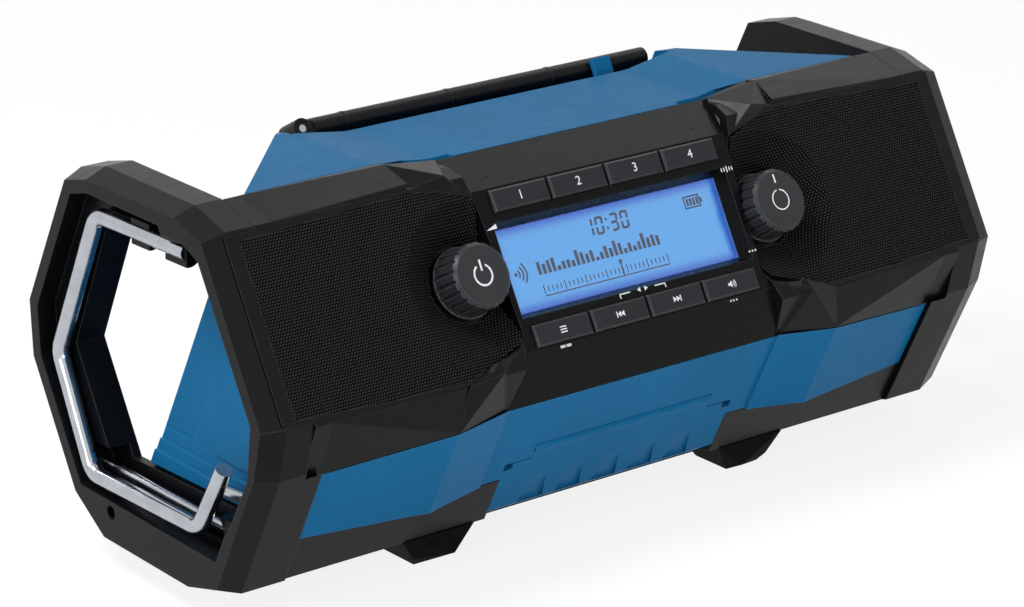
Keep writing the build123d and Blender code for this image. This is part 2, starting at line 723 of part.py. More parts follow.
def control_panel():
    """Panel moulding with the display frame, button holes and posts for the switch board."""
    across = PANEL_HALF_TOP + 1
    face = prism(outline(PANEL), -across, across)
    face &= front_prism(panel_outline(0.0, 0.0), -FACE - 1, 0)
    hollow_sides = [(0.0, PANEL_BACK + 5)] + [moved(side, PANEL_WALL) for side in PANEL[1:]]
    hollow = prism(outline(hollow_sides), -across, across)
    hollow &= front_prism(panel_outline(-PANEL_WALL, 0.0), -FACE - 1, 0)
    hollow -= window_frame(PANEL_WALL - 0.5)
    face -= hollow
    face -= window_frame(0.0)
    for x in BUTTON_PLACES:
        for z in BUTTON_ROWS.values():
            half = BUTTON_WIDTH / 2 + BUTTON_GAP
            tall = BUTTON_HEIGHT / 2 + BUTTON_GAP
            face -= box(x - half, x + half, -FACE, 4.2 - FACE, z - tall, z + tall)
    for x in (-KNOB_X, KNOB_X):
        face -= turned(KNOB_BASE_RADIUS + 0.9, x, -FACE - 5, KNOB_FLOOR + PANE)
    for x in (-POST_AT[0], POST_AT[0]):
        for z in (-POST_AT[1], POST_AT[1]):
            face += turned(2.0, x, 5.0 - FACE, SWITCH_BOARD_FRONT - PANE, z)
    return face


def button(x, z):
    """Cap, flange behind the panel and stem down to the switch."""
    half, tall = BUTTON_WIDTH / 2, BUTTON_HEIGHT / 2
    cap = box(x - half, x + half, -FACE, 4.4 - FACE, z - tall, z + tall)
    cap = chamfer(cap.faces().sort_by(Axis.Y)[0].edges(), 0.6)
    cap += box(x - half - 0.45, x + half + 0.45, 4.3 - FACE, 5.3 - FACE, z - tall - 0.35, z + tall + 0.35)
    return cap + turned(STEM_RADIUS, x, 5.0 - FACE, SWITCH_BOARD_FRONT - SWITCH_HEIGHT - BUTTON_TRAVEL - PANE, z)


def knob():
    """Right knob: tapered cap with grooved flank, base ring and a bore for the shaft."""
    front = -FACE - KNOB_PROUD
    body = turned(KNOB_CAP_RADIUS, KNOB_X, front, front + KNOB_LENGTH, 0.0, KNOB_BASE_RADIUS - 0.4)
    body = chamfer(body.faces().sort_by(Axis.Y)[0].edges(), 1.2)
    for turn in range(KNOB_GROOVES):
        spin = radians(360.0 * turn / KNOB_GROOVES)
        x = KNOB_X + (KNOB_CAP_RADIUS + 0.5) * cos(spin)
        body -= turned(GROOVE_RADIUS, x, front, front + KNOB_LENGTH, (KNOB_CAP_RADIUS + 0.5) * sin(spin))
    body += turned(KNOB_BASE_RADIUS, KNOB_X, front + KNOB_LENGTH - 1.0, front + KNOB_LENGTH)
    return body - turned(SHAFT_RADIUS + SLIP, KNOB_X, front + 2.5, front + KNOB_LENGTH)


SHAFT_FRONT = 2.7 - FACE - KNOB_PROUD
SHAFT_BACK = BOARD_FRONT - 2.0
ENCODER_FRONT = KNOB_FLOOR + FLOOR_THICK + PANE


def shaft():
    """Steel shaft between the right knob and its encoder."""
    return turned(SHAFT_RADIUS, KNOB_X, SHAFT_FRONT, SHAFT_BACK)


def encoder():
    """Rotary encoder with a bushing through the dish's floor."""
    case = box(KNOB_X - 6.5, KNOB_X + 6.5, ENCODER_FRONT, BOARD_FRONT - PANE, -7, 7)
    case += turned(4.5, KNOB_X, KNOB_FLOOR + 0.4, ENCODER_FRONT + 0.1)
    return case - turned(SHAFT_RADIUS + SLIP, KNOB_X, -FACE, SHAFT_BACK + KNOB_TRAVEL + PANE)


def speaker_driver():
    """Right driver: frame, cone basket and magnet, with a hollow cone in front."""
    front = PLATE_BACK + GASKET_THICK + 2 * PANE
    body = turned(DRIVER_RADIUS, DRIVER_X, front, front + 2)
    body += turned(DRIVER_RADIUS - 2, DRIVER_X, front + 2, front + 20, 0.0, 15.0)
    body += turned(16.5, DRIVER_X, front + 20, front + DRIVER_DEPTH)
    return body - turned(DRIVER_OPENING, DRIVER_X, front, front + 12, 0.0, 8.0)


def gasket():
    """Foam ring between the right driver and the bezel."""
    front = PLATE_BACK + PANE
    ring = turned(DRIVER_RADIUS, DRIVER_X, front, front + GASKET_THICK)
    return ring - turned(DRIVER_OPENING + 0.5, DRIVER_X, front, front + GASKET_THICK)


def display_lens():
    """Clear window of the display."""
    wide, high = WINDOW_HALF_WIDTH - PANE, WINDOW_HALF_HEIGHT - PANE
    front = WINDOW_DEPTH + PANE - PANEL_FACE
    return box(-wide, wide, front, front + 1.4, DISPLAY_CENTRE - high, DISPLAY_CENTRE + high)


def display_module():
    """Display and its light, between the window frame and the switch board."""
    wide, high = WINDOW_HALF_WIDTH + 1, WINDOW_HALF_HEIGHT + 1
    front = WINDOW_DEPTH + 1.8 + PANE - PANEL_FACE
    return box(-wide, wide, front, SWITCH_BOARD_FRONT - PANE, DISPLAY_CENTRE - high, DISPLAY_CENTRE + high)


def switch_board():
    """Board behind the buttons, with a switch under each stem."""
    front = SWITCH_BOARD_FRONT
    board = box(-55.0, 55.0, front, front + BOARD_THICK, -37.0, 37.0)
    for x in BUTTON_PLACES:
        for z in BUTTON_ROWS.values():
            board += box(x - 3, x + 3, front - SWITCH_HEIGHT, front, z - 3, z + 3)
    return board


def main_board():
    """Radio board on the bezel's posts."""
    back = BOARD_FRONT + BOARD_THICK
    wide, high = BOARD_HALF_WIDTH, BOARD_HALF_HEIGHT
    board = box(-wide, wide, BOARD_FRONT, back, -high, high)
    board += box(-30, -6, back, back + 4, -18, 6)
    return board + box(8, 34, back, back + 6, 0, 22)


BAY = Plane((0, *BAY_FLOOR), x_dir=(1, 0, 0), z_dir=(0, sin(radians(BAY_LEAN)), cos(radians(BAY_LEAN))))
BAY = BAY * Pos(0, -PACK_THICK / 2, 0)
PACK_START = 3.0
TERMINAL_THICK = 5.0
TRAY_LENGTH = PACK_START + PACK_LENGTH + SEAM + TERMINAL_THICK + PANE + BAY_WALL


def bay_box(width, thick, start, end):
    """Block in the battery bay, square to the way the pack slides."""
    return BAY * Pos(0, 0, (start + end) / 2) * Box(width, thick, end - start)


def door_cut(half, start, outward=0.0):
    """Space that the door needs in the shell, from a place on the lower slope down to its tail."""
    deep = BLUE_LOWER_RADIUS - DOOR_THICK - 2.0 + outward
    tail = DOOR_TAIL_Y + 2 * SEAM
    points = [
        surface_point(LOWER_ANGLE, BLUE_LOWER_RADIUS + 20, start),
        surface_point(LOWER_ANGLE, deep, start),
        surface_point(LOWER_ANGLE, deep, DOOR_END + 5.0),
        (tail, DOOR_TAIL_Z + 5.0),
        (tail, DOOR_TAIL_Z - 20),
    ]
    return prism(points, -half, half)


def battery_tray():
    """Five-sided box that holds the pack, with its mouth behind the door."""
    gap = BAY_GAP + BAY_WALL
    tray = bay_box(PACK_WIDTH + 2 * gap, PACK_THICK + 2 * gap, -10, TRAY_LENGTH)
    tray -= bay_box(PACK_WIDTH + 2 * BAY_GAP, PACK_THICK + 2 * BAY_GAP, -11, TRAY_LENGTH - BAY_WALL)
    return tray - door_cut(BLOCK, 10.0)


def battery_pack():
    """Battery pack, a plain block with broken edges."""
    return chamfer(bay_box(PACK_WIDTH, PACK_THICK, PACK_START, PACK_START + PACK_LENGTH).edges(), 1.5)


def terminal_block():
    """Contact block at the inner end of the bay."""
    start = PACK_START + PACK_LENGTH + SEAM
    return bay_box(60, 24, start, start + TERMINAL_THICK)


def battery_door():
    """Door with its hinge barrel, a tail round the keel and finger grooves."""
    outer = BLUE_LOWER_RADIUS
    inner = BLUE_LOWER_RADIUS - DOOR_THICK
    fold = surface_point(LOWER_ANGLE, outer, DOOR_END)
    fold_in = surface_point(LOWER_ANGLE, inner, DOOR_END + 1.0)
    door = Part()
    for half, start in ((DOOR_HALF, -17.0), (DOOR_HALF - 4, DOOR_SHOULDER), (DOOR_NECK_HALF, HINGE_ALONG)):
        points = [
            surface_point(LOWER_ANGLE, outer, start),
            fold,
            (DOOR_TAIL_Y, DOOR_TAIL_Z),
            (DOOR_TAIL_Y, DOOR_TAIL_Z + DOOR_THICK),
            fold_in,
            surface_point(LOWER_ANGLE, inner, start),
        ]
        door += prism(points, -half, half)
    door += along(BARREL_RADIUS, -DOOR_NECK_HALF, DOOR_NECK_HALF, *HINGE)
    for place in range(5):
        x = DOOR_GROOVE_PITCH * (place - 2)
        top = surface_point(LOWER_ANGLE, outer, -25.0)
        low = surface_point(LOWER_ANGLE, outer - 1.8, DOOR_END - 1)
        rise = surface_point(LOWER_ANGLE, outer + 3, DOOR_END - 1)
        corners = [(x + side, *top) for side in (-3.5, 3.5)]
        corners += [(x + side, *point) for point in (low, rise) for side in (-6.5, 6.5)]
        door -= hull(*corners)
    return door - along(PIN_RADIUS + SLIP, -BLOCK, BLOCK, *HINGE)


WALL_STEPS = [((-29.4, 1.6), (11.2, -26.0)), ((-32.0, -13.1), (2.7, -36.2))]
STEP_RISE = 0.9
LEDGE_RADIUS = 35.5
LEDGE_DROP = 5.0
LEDGES = 3


def wall_step(start, end, rise):
    """Plate on the end wall, on the outer side of the line through two (y, z) points."""
    first, last = Vector(0, *start), Vector(0, *end)
    way = (last - first).normalized()
    out = Vector(0, way.Z, -way.Y) * FACE
    first, last = first - way * FACE, last + way * FACE
    base = Vector(HOUSING_X - 0.5, 0, 0)
    loop = [base + first, base + last, base + last + out, base + first + out]
    return Solid.extrude(Face(Wire.make_polygon(loop, close=True)), Vector(0.5 + rise, 0, 0))


def end_steps():
    """Two broad steps and three ledges on the right end wall, inside the hand opening."""
    lines = []
    for count in range(LEDGES):
        radius = LEDGE_RADIUS - LEDGE_DROP * (LEDGES - 1 - count)
        lines.append([surface_point(BASE_ANGLE, radius, place) for place in (28.0, -22.0)])
    steps = Part()
    for count, line in enumerate(WALL_STEPS):
        steps += wall_step(*line, STEP_RISE * (count + 1))
    steps -= wall_step(*lines[0], FACE)
    for count, line in enumerate(lines):
        steps += wall_step(*line, STEP_RISE * (count + 1))
    steps &= prism(outline_inside(OPENING, 1.0), 0, END_X)
    steps &= prism(outline([moved(side, SEAM) for side in HOUSING]), 0, END_X)
    lean = radians(HANDLE_ANGLE)
    edge = END_CUT_RADIUS - 1.0
    return trim(steps, Vector(0, edge * cos(lean), edge * sin(lean)), Vector(0, cos(lean), sin(lean)))


def outline_inside(points, gap):
    """The opening drawn in towards its middle by about a gap."""
    middle_y = sum(point[0] for point in points) / len(points)
    middle_z = sum(point[1] for point in points) / len(points)
    share = 1 - gap / 45.0
    return [(middle_y + (y - middle_y) * share, middle_z + (z - middle_z) * share) for y, z in points]


def main_housing():
    """Blue tub: end walls, sloped shoulders, ridges, door opening and screw columns."""
    shell = end_cut(prism(outline(HOUSING), -HOUSING_X, HOUSING_X), 0)
    inner_x = HOUSING_X - WALL
    cavity = end_cut(prism(outline(CAVITY), -inner_x, inner_x), WALL)
    ridge_points = []
    crests = ((HOUSING_X - SKIRT_LENGTH, 0.0, 13.0), (RIDGE_X, RIDGE_RISE, 19.0), (PANEL_HALF_TOP, 1.0, 19.0))
    for x, rise, top in crests:
        for reach in (top, SKID_EDGE):
            ridge_points.append((x, *surface_point(LOWER_ANGLE, BLUE_LOWER_RADIUS + rise, reach)))
            ridge_points.append((x, *surface_point(LOWER_ANGLE, BLUE_LOWER_RADIUS - 3, reach)))
    ridge = hull(*ridge_points)
    level = trim(ridge, Vector(0, 0, -SEAM_LOW_HEIGHT - SEAM), Vector(0, 0, 1))
    shell += both(level + under_bumper(ridge, 0.0))
    shell += prism(
        [
            (SEAM_LOW[0] + 4, LIP_TOP),
            (SEAM_LOW[0] + 4, LIP_TOP - 6),
            surface_point(LOWER_ANGLE, BLUE_LOWER_RADIUS, 13.0),
            surface_point(LOWER_ANGLE, BLUE_LOWER_RADIUS, 17.0),
        ],
        -PANEL_HALF_TOP,
        PANEL_HALF_TOP,
    ) & box(-BLOCK, BLOCK, -BLOCK, BLOCK, -BLOCK, LIP_TOP)
    shell -= cavity
    shell -= shoulder_dip()
    shell -= box(-SHELF_HALF, SHELF_HALF, AERIAL_Y - SHELF_FRONT, AERIAL_Y + 8, SHELF_HEIGHT, BLOCK)
    shell -= box(-SHELF_HALF, SHELF_HALF, AERIAL_Y, BLOCK, SHELF_HEIGHT + 7.2, BLOCK)
    outer = end_cut(prism(outline(HOUSING), -HOUSING_X, HOUSING_X), 0)
    columns = Part()
    for x in (-CASE_SCREW_X, CASE_SCREW_X):
        for z in (-CASE_SCREW_Z, CASE_SCREW_Z):
            columns += turned(COLUMN_RADIUS, x, COLUMN_FRONT - FACE, DEPTH, z)
    columns += both(along(RING_SCREW_BOSS_RADIUS, inner_x - RING_SCREW_BOSS_LENGTH, inner_x, *RING_SCREW))
    shell += columns & outer
    for x in (-CASE_SCREW_X, CASE_SCREW_X):
        for z in (-CASE_SCREW_Z, CASE_SCREW_Z):
            shell -= turned(WELL_RADIUS, x, WELL_BACK - FACE, DEPTH, z)
            shell -= turned(SCREW_RADIUS + SLIP, x, -FACE, DEPTH, z)
    shell -= both(along(SCREW_RADIUS + SLIP, inner_x - RING_SCREW_BOSS_LENGTH, END_X, *RING_SCREW))
    shell -= skid_shell(BLOCK / 4, SKID_WALL + SEAM, SKID_EDGE + SEAM, 5.0)
    skirt_x = RING_X - SKIRT_LENGTH - SEAM
    under = [(LOWER_ANGLE, LOWER_RADIUS), KEEL_SIDE, BASE_SIDE]
    wrap = prism(outline([moved(side, -5.0) for side in under] + [(LID_ANGLE, 0.0)]), skirt_x, END_X)
    wrap -= prism(outline([moved(side, SKIRT_WALL + SEAM) for side in under] + [(LID_ANGLE, 20.0)]), 0, END_X)
    wrap = trim(wrap, Vector(0, 0, -SEAM_LOW_HEIGHT), Vector(0, 0, 1))
    shell -= both(wrap)
    bumper_bed = BUMPER_BACK + SEAM - FACE
    shell -= both(box(PANEL_HALF_LOWER - 3.4, BUMPER_END + 1.0, -FACE, bumper_bed, 0, BUMPER_BED_TOP))
    panel_half = PANEL_HALF_TOP + PANE
    shell -= box(-panel_half, panel_half, -FACE, PANEL_BACK + PANE, 0, PANEL_UPPER_CORNER[1] + PANE)
    shell -= door_cut(DOOR_HALF + PANE, DOOR_MOUTH)
    shell -= door_cut(DOOR_NECK_HALF + PANE, HINGE_ALONG + BARREL_RADIUS + 0.5)
    shell -= along(PIN_RADIUS + SLIP, -DOOR_HALF + 4, DOOR_HALF - 4, *HINGE)
    gap = BAY_GAP + BAY_WALL + PANE
    bay = bay_box(PACK_WIDTH + 2 * gap, PACK_THICK + 2 * gap, -15, TRAY_LENGTH + PANE)
    shell -= bay - door_cut(BLOCK, 10.0, PANE)
    return shell + both(end_steps())


def base_skid():
    """Black skid under the keel, open for the battery door."""
    half = RING_X - SKIRT_LENGTH - SEAM
    skid = skid_shell(half, SKID_WALL, SKID_EDGE - SEAM / 2, 0.0)
    return skid - door_cut(DOOR_HALF + PANE, 0.0)


def aerial_rod():
    """Rod aerial with a flat knuckle at its pivot."""
    rod = along(AERIAL_RADIUS, AERIAL_PIVOT_X, AERIAL_TIP_X, AERIAL_Y, AERIAL_HEIGHT)
    start, end = AERIAL_PIVOT_X - 9, AERIAL_PIVOT_X + 7
    rod -= box(start, end, AERIAL_Y + KNUCKLE_HALF, AERIAL_Y + 9, 0, BLOCK)
    rod -= box(start, end, AERIAL_Y - 9, AERIAL_Y - KNUCKLE_HALF, 0, BLOCK)
    rod += turned(AERIAL_RADIUS, AERIAL_PIVOT_X, AERIAL_Y - KNUCKLE_HALF, AERIAL_Y + KNUCKLE_HALF, AERIAL_HEIGHT)
    return rod - turned(AERIAL_PIN_RADIUS + SLIP, AERIAL_PIVOT_X, -FACE, FACE, AERIAL_HEIGHT)


def aerial_pivot():
    """Fork that holds the aerial's knuckle."""
    floor = SHELF_HEIGHT + PANE
    half = AERIAL_RADIUS
    front, back = AERIAL_Y - FORK_HALF, AERIAL_Y + FORK_HALF
    fork = box(AERIAL_PIVOT_X - half, AERIAL_PIVOT_X + half, front, back, floor, AERIAL_HEIGHT)
    fork += turned(half, AERIAL_PIVOT_X, front, back, AERIAL_HEIGHT)
    slot = KNUCKLE_HALF + SEAM
    fork -= box(-DEPTH, 0, AERIAL_Y - slot, AERIAL_Y + slot, floor + 1.0, BLOCK)
    return fork - turned(AERIAL_PIN_RADIUS + SLIP, AERIAL_PIVOT_X, -FACE, FACE, AERIAL_HEIGHT)


def aerial_clip():
    """Upright clip that the aerial drops into."""
    floor = SHELF_HEIGHT + PANE
    inner = AERIAL_RADIUS + 0.35
    x0, x1 = AERIAL_CLIP_X - 4.5, AERIAL_CLIP_X + 4.5
    clip = box(x0, x1, AERIAL_Y - inner - 2, AERIAL_Y + inner + 2, floor, AERIAL_HEIGHT + 2.5)
    return clip - box(x0, x1, AERIAL_Y - inner, AERIAL_Y + inner, floor + 0.8, BLOCK)


def stand(shape):
    """Leans a piece back and lifts it on to its feet."""
    return Pos(0, AXIS_BACK, AXIS_HEIGHT) * Rot(X=-TILT) * shape


def foot(front, top_front, length):
    """Right-hand foot in the standing radio: a faceted block under the skid."""
    top, sole = FOOT_TOP_HALF, FOOT_SOLE_HALF
    block = hull(
        (FOOT_X - top, top_front, 13.0),
        (FOOT_X + top, top_front, 13.0),
        (FOOT_X - top, front + length, 13.0),
        (FOOT_X + top, front + length, 13.0),
        (FOOT_X - sole + 2, front, 3.6),
        (FOOT_X + sole + 2, front + 4, 3.6),
        (FOOT_X - sole, front + 7, 0.0),
        (FOOT_X + sole, front + 7, 0.0),
        (FOOT_X - sole, front + length - 5, 0.0),
        (FOOT_X + sole, front + length - 5, 0.0),
    )
    under = [(LOWER_ANGLE, BLUE_LOWER_RADIUS + SEAM), moved(KEEL_SIDE, -SEAM), moved(BASE_SIDE, -SEAM)]
    under.append((LID_ANGLE, 0.0))
    return block - stand(prism(outline(under), -BLOCK, BLOCK))


def screws_along_y():
    """Case screws, heads down in the housing's wells."""
    group = []
    for x in (-CASE_SCREW_X, CASE_SCREW_X):
        for z in (-CASE_SCREW_Z, CASE_SCREW_Z):
            seat = WELL_BACK - FACE
            screw = turned(SCREW_RADIUS, x, seat - CASE_SCREW_LENGTH, seat + 0.1, z)
            group.append(screw + turned(SCREW_HEAD_RADIUS, x, seat, seat + SCREW_HEAD_THICK, z))
    return group


def screws_along_x():
    """One screw for each ring, head down in its hole."""
    seat = END_X - RING_SCREW_SINK
    screw = along(SCREW_RADIUS, seat - RING_SCREW_LENGTH, seat, *RING_SCREW)
    screw += along(SCREW_HEAD_RADIUS, seat, seat + SCREW_HEAD_THICK, *RING_SCREW)
    return [screw, mirrored(screw)]


def save(name, shape, standing=False):
    """Writes one node, leaned back unless it is drawn in the standing radio already."""
    solids = shape if isinstance(shape, list) else [shape]
    placed = [solid if standing else stand(solid) for solid in solids]
    bodies = [body for piece in placed for body in piece.solids()]
    export_step(bodies[0] if len(bodies) == 1 else Compound(children=bodies), "parts/" + name + ".step")


def unchanged(shape):
    """The right-hand piece as it is."""
    return shape


def main():
    os.makedirs("parts", exist_ok=True)
    save("front_bezel", front_bezel())
    save("control_panel", control_panel())
    save("display_lens", display_lens())
    save("display_module", display_module())
    for row, height in BUTTON_ROWS.items():
        for place, x in enumerate(BUTTON_PLACES):
            save(f"{row}_button_{place + 1}", button(x, height))
    for name, piece in (("tuning", "right"), ("volume", "left")):
        keep = mirrored if piece == "left" else unchanged
        save(name + "_knob", keep(knob()))
        save(name + "_shaft", keep(shaft()))
        save(name + "_encoder", keep(encoder()))
        save(piece + "_grille", keep(grille()))
        save(piece + "_driver", keep(speaker_driver()))
        save(piece + "_gasket", keep(gasket()))
        save("front_" + piece + "_foot", keep(foot(FOOT_FRONT, -44.0, FOOT_LENGTH)), standing=True)
        save("rear_" + piece + "_foot", keep(foot(-6.0, -6.0, FOOT_LENGTH)), standing=True)
    save("switch_board", switch_board())
    save("main_board", main_board())
    save("main_housing", main_housing())
    save("base_skid", base_skid())
    save("right_end_ring", end_ring())
    save("left_end_ring", hook_ring())
    save("hook_rod", hook_rod())
    save("hook_boss", rod_collar(BOSS_RADIUS, BOSS_SPAN, 2 * PANE))
    save("hook_clip", rod_collar(CLIP_RADIUS, CLIP_SPAN, -1.0))
    save("rest_bar", rod_between(BAR_RADIUS, BAR_X, *BAR_ENDS))
    save("stop_pin", rod_between(STOP_PIN_RADIUS, BAR_X, *PIN_ENDS))
    save("battery_door", battery_door())
    save("door_hinge_pin", along(PIN_RADIUS, -DOOR_HALF + 4.5, DOOR_HALF - 4.5, *HINGE))
    save("battery_tray", battery_tray())
    save("battery_pack", battery_pack())
    save("terminal_block", terminal_block())
    save("aerial_rod", aerial_rod())
    save("aerial_pivot", aerial_pivot())
    save("aerial_clip", aerial_clip())
    pin_half = FORK_HALF - 0.1
    pin = turned(AERIAL_PIN_RADIUS, AERIAL_PIVOT_X, AERIAL_Y - pin_half, AERIAL_Y + pin_half, AERIAL_HEIGHT)
    save("aerial_pin", pin)
    save("case_screws", screws_along_y())
    save("ring_screws", screws_along_x())


if __name__ == "__main__":
    main()
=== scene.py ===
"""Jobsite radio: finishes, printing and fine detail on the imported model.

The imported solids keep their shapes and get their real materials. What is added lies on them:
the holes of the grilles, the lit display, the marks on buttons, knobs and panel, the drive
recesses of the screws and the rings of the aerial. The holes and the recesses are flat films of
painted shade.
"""

import json
import math

import bmesh
import bpy
from mathutils import Matrix, Vector


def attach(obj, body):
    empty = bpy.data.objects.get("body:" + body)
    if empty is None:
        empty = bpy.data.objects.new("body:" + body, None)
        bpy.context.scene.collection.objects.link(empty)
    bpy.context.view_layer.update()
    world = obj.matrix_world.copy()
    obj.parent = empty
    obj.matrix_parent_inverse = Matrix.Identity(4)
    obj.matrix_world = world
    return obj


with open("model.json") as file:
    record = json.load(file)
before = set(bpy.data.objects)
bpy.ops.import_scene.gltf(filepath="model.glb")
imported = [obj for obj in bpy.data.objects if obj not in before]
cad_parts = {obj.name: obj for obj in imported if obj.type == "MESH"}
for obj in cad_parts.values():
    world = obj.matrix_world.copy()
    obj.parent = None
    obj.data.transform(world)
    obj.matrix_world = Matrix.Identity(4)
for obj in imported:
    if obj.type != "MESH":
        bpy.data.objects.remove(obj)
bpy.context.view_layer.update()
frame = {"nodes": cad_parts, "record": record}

bl_info = {
    "name": "Jobsite radio looks",
    "version": (1, 0, 0),
    "blender": (4, 5, 0),
    "location": "3D View > Sidebar > Radio",
    "description": "Finishes, printing and fine detail of a jobsite radio",
    "category": "Object",
}

MM = 0.001

# Lengths are in millimetres, as in the CAD source, unless a line says metres. The section is
# drawn with the speaker face upright, then leaned back and lifted on to its feet.
LEAN_ANGLE = math.radians(-30.0)
STAND_BACK = 3.19
STAND_HIGH = 80.0
LEAN = (Matrix.Translation((0.0, STAND_BACK * MM, STAND_HIGH * MM))
        @ Matrix.Rotation(LEAN_ANGLE, 4, "X"))
INTO_FACE = LEAN.to_3x3() @ Vector((0.0, 1.0, 0.0))

FACE_DEPTH = -69.0
KNOB_X = 72.6
KNOB_FRONT = -74.5
BUTTON_PITCH = 27.5
PRESET_HEIGHT = 25.7
MENU_HEIGHT = -25.9
PANEL_DEPTH = -67.5
PANEL_FOOT_SINK = 0.35
DISPLAY_DEPTH = -60.3
DISPLAY_CENTRE = -0.3
DISPLAY_HALF = (54.5, 16.2)
BACKLIGHT_LIFT = 0.06
CRYSTAL_LIFT = 0.1
METER_START = (-37.5, -3.6)
AERIAL_LINE = (-2.0, 76.4)
AERIAL_RADIUS = 4.0
AERIAL_RING_START = -60.0
AERIAL_RING_PITCH = 50.0
AERIAL_RING_PROUD = 0.18
AERIAL_RING_WIDTH = 1.2
RING_SCREW = (45.7, -39.1)
RING_SCREW_X = 168.4
CASE_SCREW_DEPTH = -39.6
CASE_SCREW_SPREAD = (70.0, 43.5)
RECESS_RADIUS = 1.5
RECESS_LIFT = 0.04
RECESS_WAIST = 0.72
LOBE_FILLET = 0.18
INK_THICK = 0.06
NUMERAL_SHARE = 0.7
PLAIN_CORNERS = 6

# The grid of holes starts in front of each grille and is dropped on to it
GRILLE_MIDDLE = 112.0
GRILLE_AHEAD = 12.0
GRILLE_SPAN = (110.0, 72.0)
HOLE_LIFT = 0.03
DROP_LENGTH = 50.0
ROW_SHARE = 0.8660254
FACING_LIMIT = -0.3

# The patterns and optics of the finishes. The grain of the moulded ones is drawn coarser than real
# spark erosion leaves it, which would be too fine to show.
CLOUD_SIZE = 38.0
SCUFF_SIZE = 5.0
EDGE_REACH = 0.25
ROUGH_SWING = 0.07
PLASTIC_IOR = 1.5
ACRYLIC_IOR = 1.49
METAL_EDGE = 0.2
MARK_SIZE = 9.0
INK_MOTTLE = 0.5
HAZE_SIZE = 3.0
TRACK_SIZE = 3.0
PIXEL_SIZE = 0.55
RIM_REACH = 6.0

# The stage is in metres, but for the clouds of the floor, the sensor and the lens. Each lamp has
# its place and its size, and takes its power from the setting of the same name.
FLOOR_REACH = 12.0
FLOOR_WHITE_SHARE = 0.85
FLOOR_CLOUD_SIZE = 1000.0 / 3.0
LAMP_TARGET = (0.0, 0.0, 0.08)
LAMPS = {
    "key": ((-0.85, 0.2, 1.55), (0.55, 0.55)),
    "rim": ((1.25, 0.6, 1.6), (0.9, 0.9)),
    "side": ((-1.8, -0.6, 0.9), (1.0, 1.0)),
    "fill": ((-0.3, -2.2, 0.35), (1.4, 0.6)),
}
CAMERA_PLACE = (-0.916854, -1.101917, 0.58603)
CAMERA_RIGHT = (0.775, -0.631778, 0.015198)
CAMERA_FORWARD = (0.598861, 0.726515, -0.336958)
CAMERA_SENSOR = 36.0
CAMERA_LENS = 139.206
CAMERA_REACH = 50.0

# Kinds of nodes that are added often
PRINCIPLED = "ShaderNodeBsdfPrincipled"
EMISSION = "ShaderNodeEmission"
NOISE = "ShaderNodeTexNoise"
RAMP = "ShaderNodeValToRGB"
RANGE = "ShaderNodeMapRange"
MATHS = "ShaderNodeMath"
VECTOR_MATHS = "ShaderNodeVectorMath"
COMBINE = "ShaderNodeCombineXYZ"
SET_POSITION = "GeometryNodeSetPosition"
INSTANCES = "GeometryNodeInstanceOnPoints"
ALIGN = "FunctionNodeAlignRotationToVector"
ATTRIBUTE = "GeometryNodeInputNamedAttribute"


# ---------------------------------------------------------------- shader helpers


def srgb(code):
    """An sRGB hex value as the linear colour that the shader wants."""
    channels = [int(code[i:i + 2], 16) / 255.0 for i in (1, 3, 5)]
    linear = [c / 12.92 if c <= 0.04045 else ((c + 0.055) / 1.055) ** 2.4 for c in channels]
    return (*linear, 1.0)


def shade(colour, share):
    """A colour made darker or lighter by a share."""
    return (*[min(1.0, channel * share) for channel in colour[:3]], 1.0)


def grey(value):
    """A linear grey for a mask."""
    return (value, value, value, 1.0)


def per_metre(size):
    """The scale of a pattern whose marks have a given size."""
    return 1.0 / (size * MM)


def add(tree, kind, inputs=None, **settings):
    """Adds a node with its settings. An input gets a value, or a link from a node or an output."""
    item = tree.nodes.new(kind)
    for key, value in settings.items():
        setattr(item, key, value)
    for key, value in (inputs or {}).items():
        if isinstance(value, bpy.types.Node):
            value = value.outputs[0]
        if isinstance(value, bpy.types.NodeSocket):
            tree.links.new(value, item.inputs[key])
        else:
            item.inputs[key].default_value = value
    return item


def toned(item, stops):
    """Sets the (position, colour) stops of a colour ramp, and gives the node back."""
    elements = item.color_ramp.elements
    while len(elements) < len(stops):
        elements.new(0.5)
    for element, (position, colour) in zip(elements, stops):
        element.position = position
        element.color = colour
    return item


def edge_mask(tree, normal):
    """1 along an edge, where the rounded normal leaves the flat one, and 0 on the flats."""
    flat = add(tree, "ShaderNodeNewGeometry").outputs["Normal"]
    agree = add(tree, VECTOR_MATHS, {0: normal, 1: flat}, operation="DOT_PRODUCT")
    mask = add(tree, RAMP, {"Fac": agree.outputs["Value"]})
    return toned(mask, [(1.0 - EDGE_REACH, grey(1.0)), (1.0, grey(0.0))])


def blank(name, coordinates="Object"):
    """A new material, its empty tree and the coordinates that its pattern reads."""
    material = bpy.data.materials.new(name)
    material.use_nodes = True
    tree = material.node_tree
    tree.nodes.clear()
    return material, tree, add(tree, "ShaderNodeTexCoord").outputs[coordinates]


def dressed(material, kind, inputs):
    """Ends a material with a shader, and gives the material back."""
    tree = material.node_tree
    add(tree, "ShaderNodeOutputMaterial", {"Surface": add(tree, kind, inputs)})
    return material


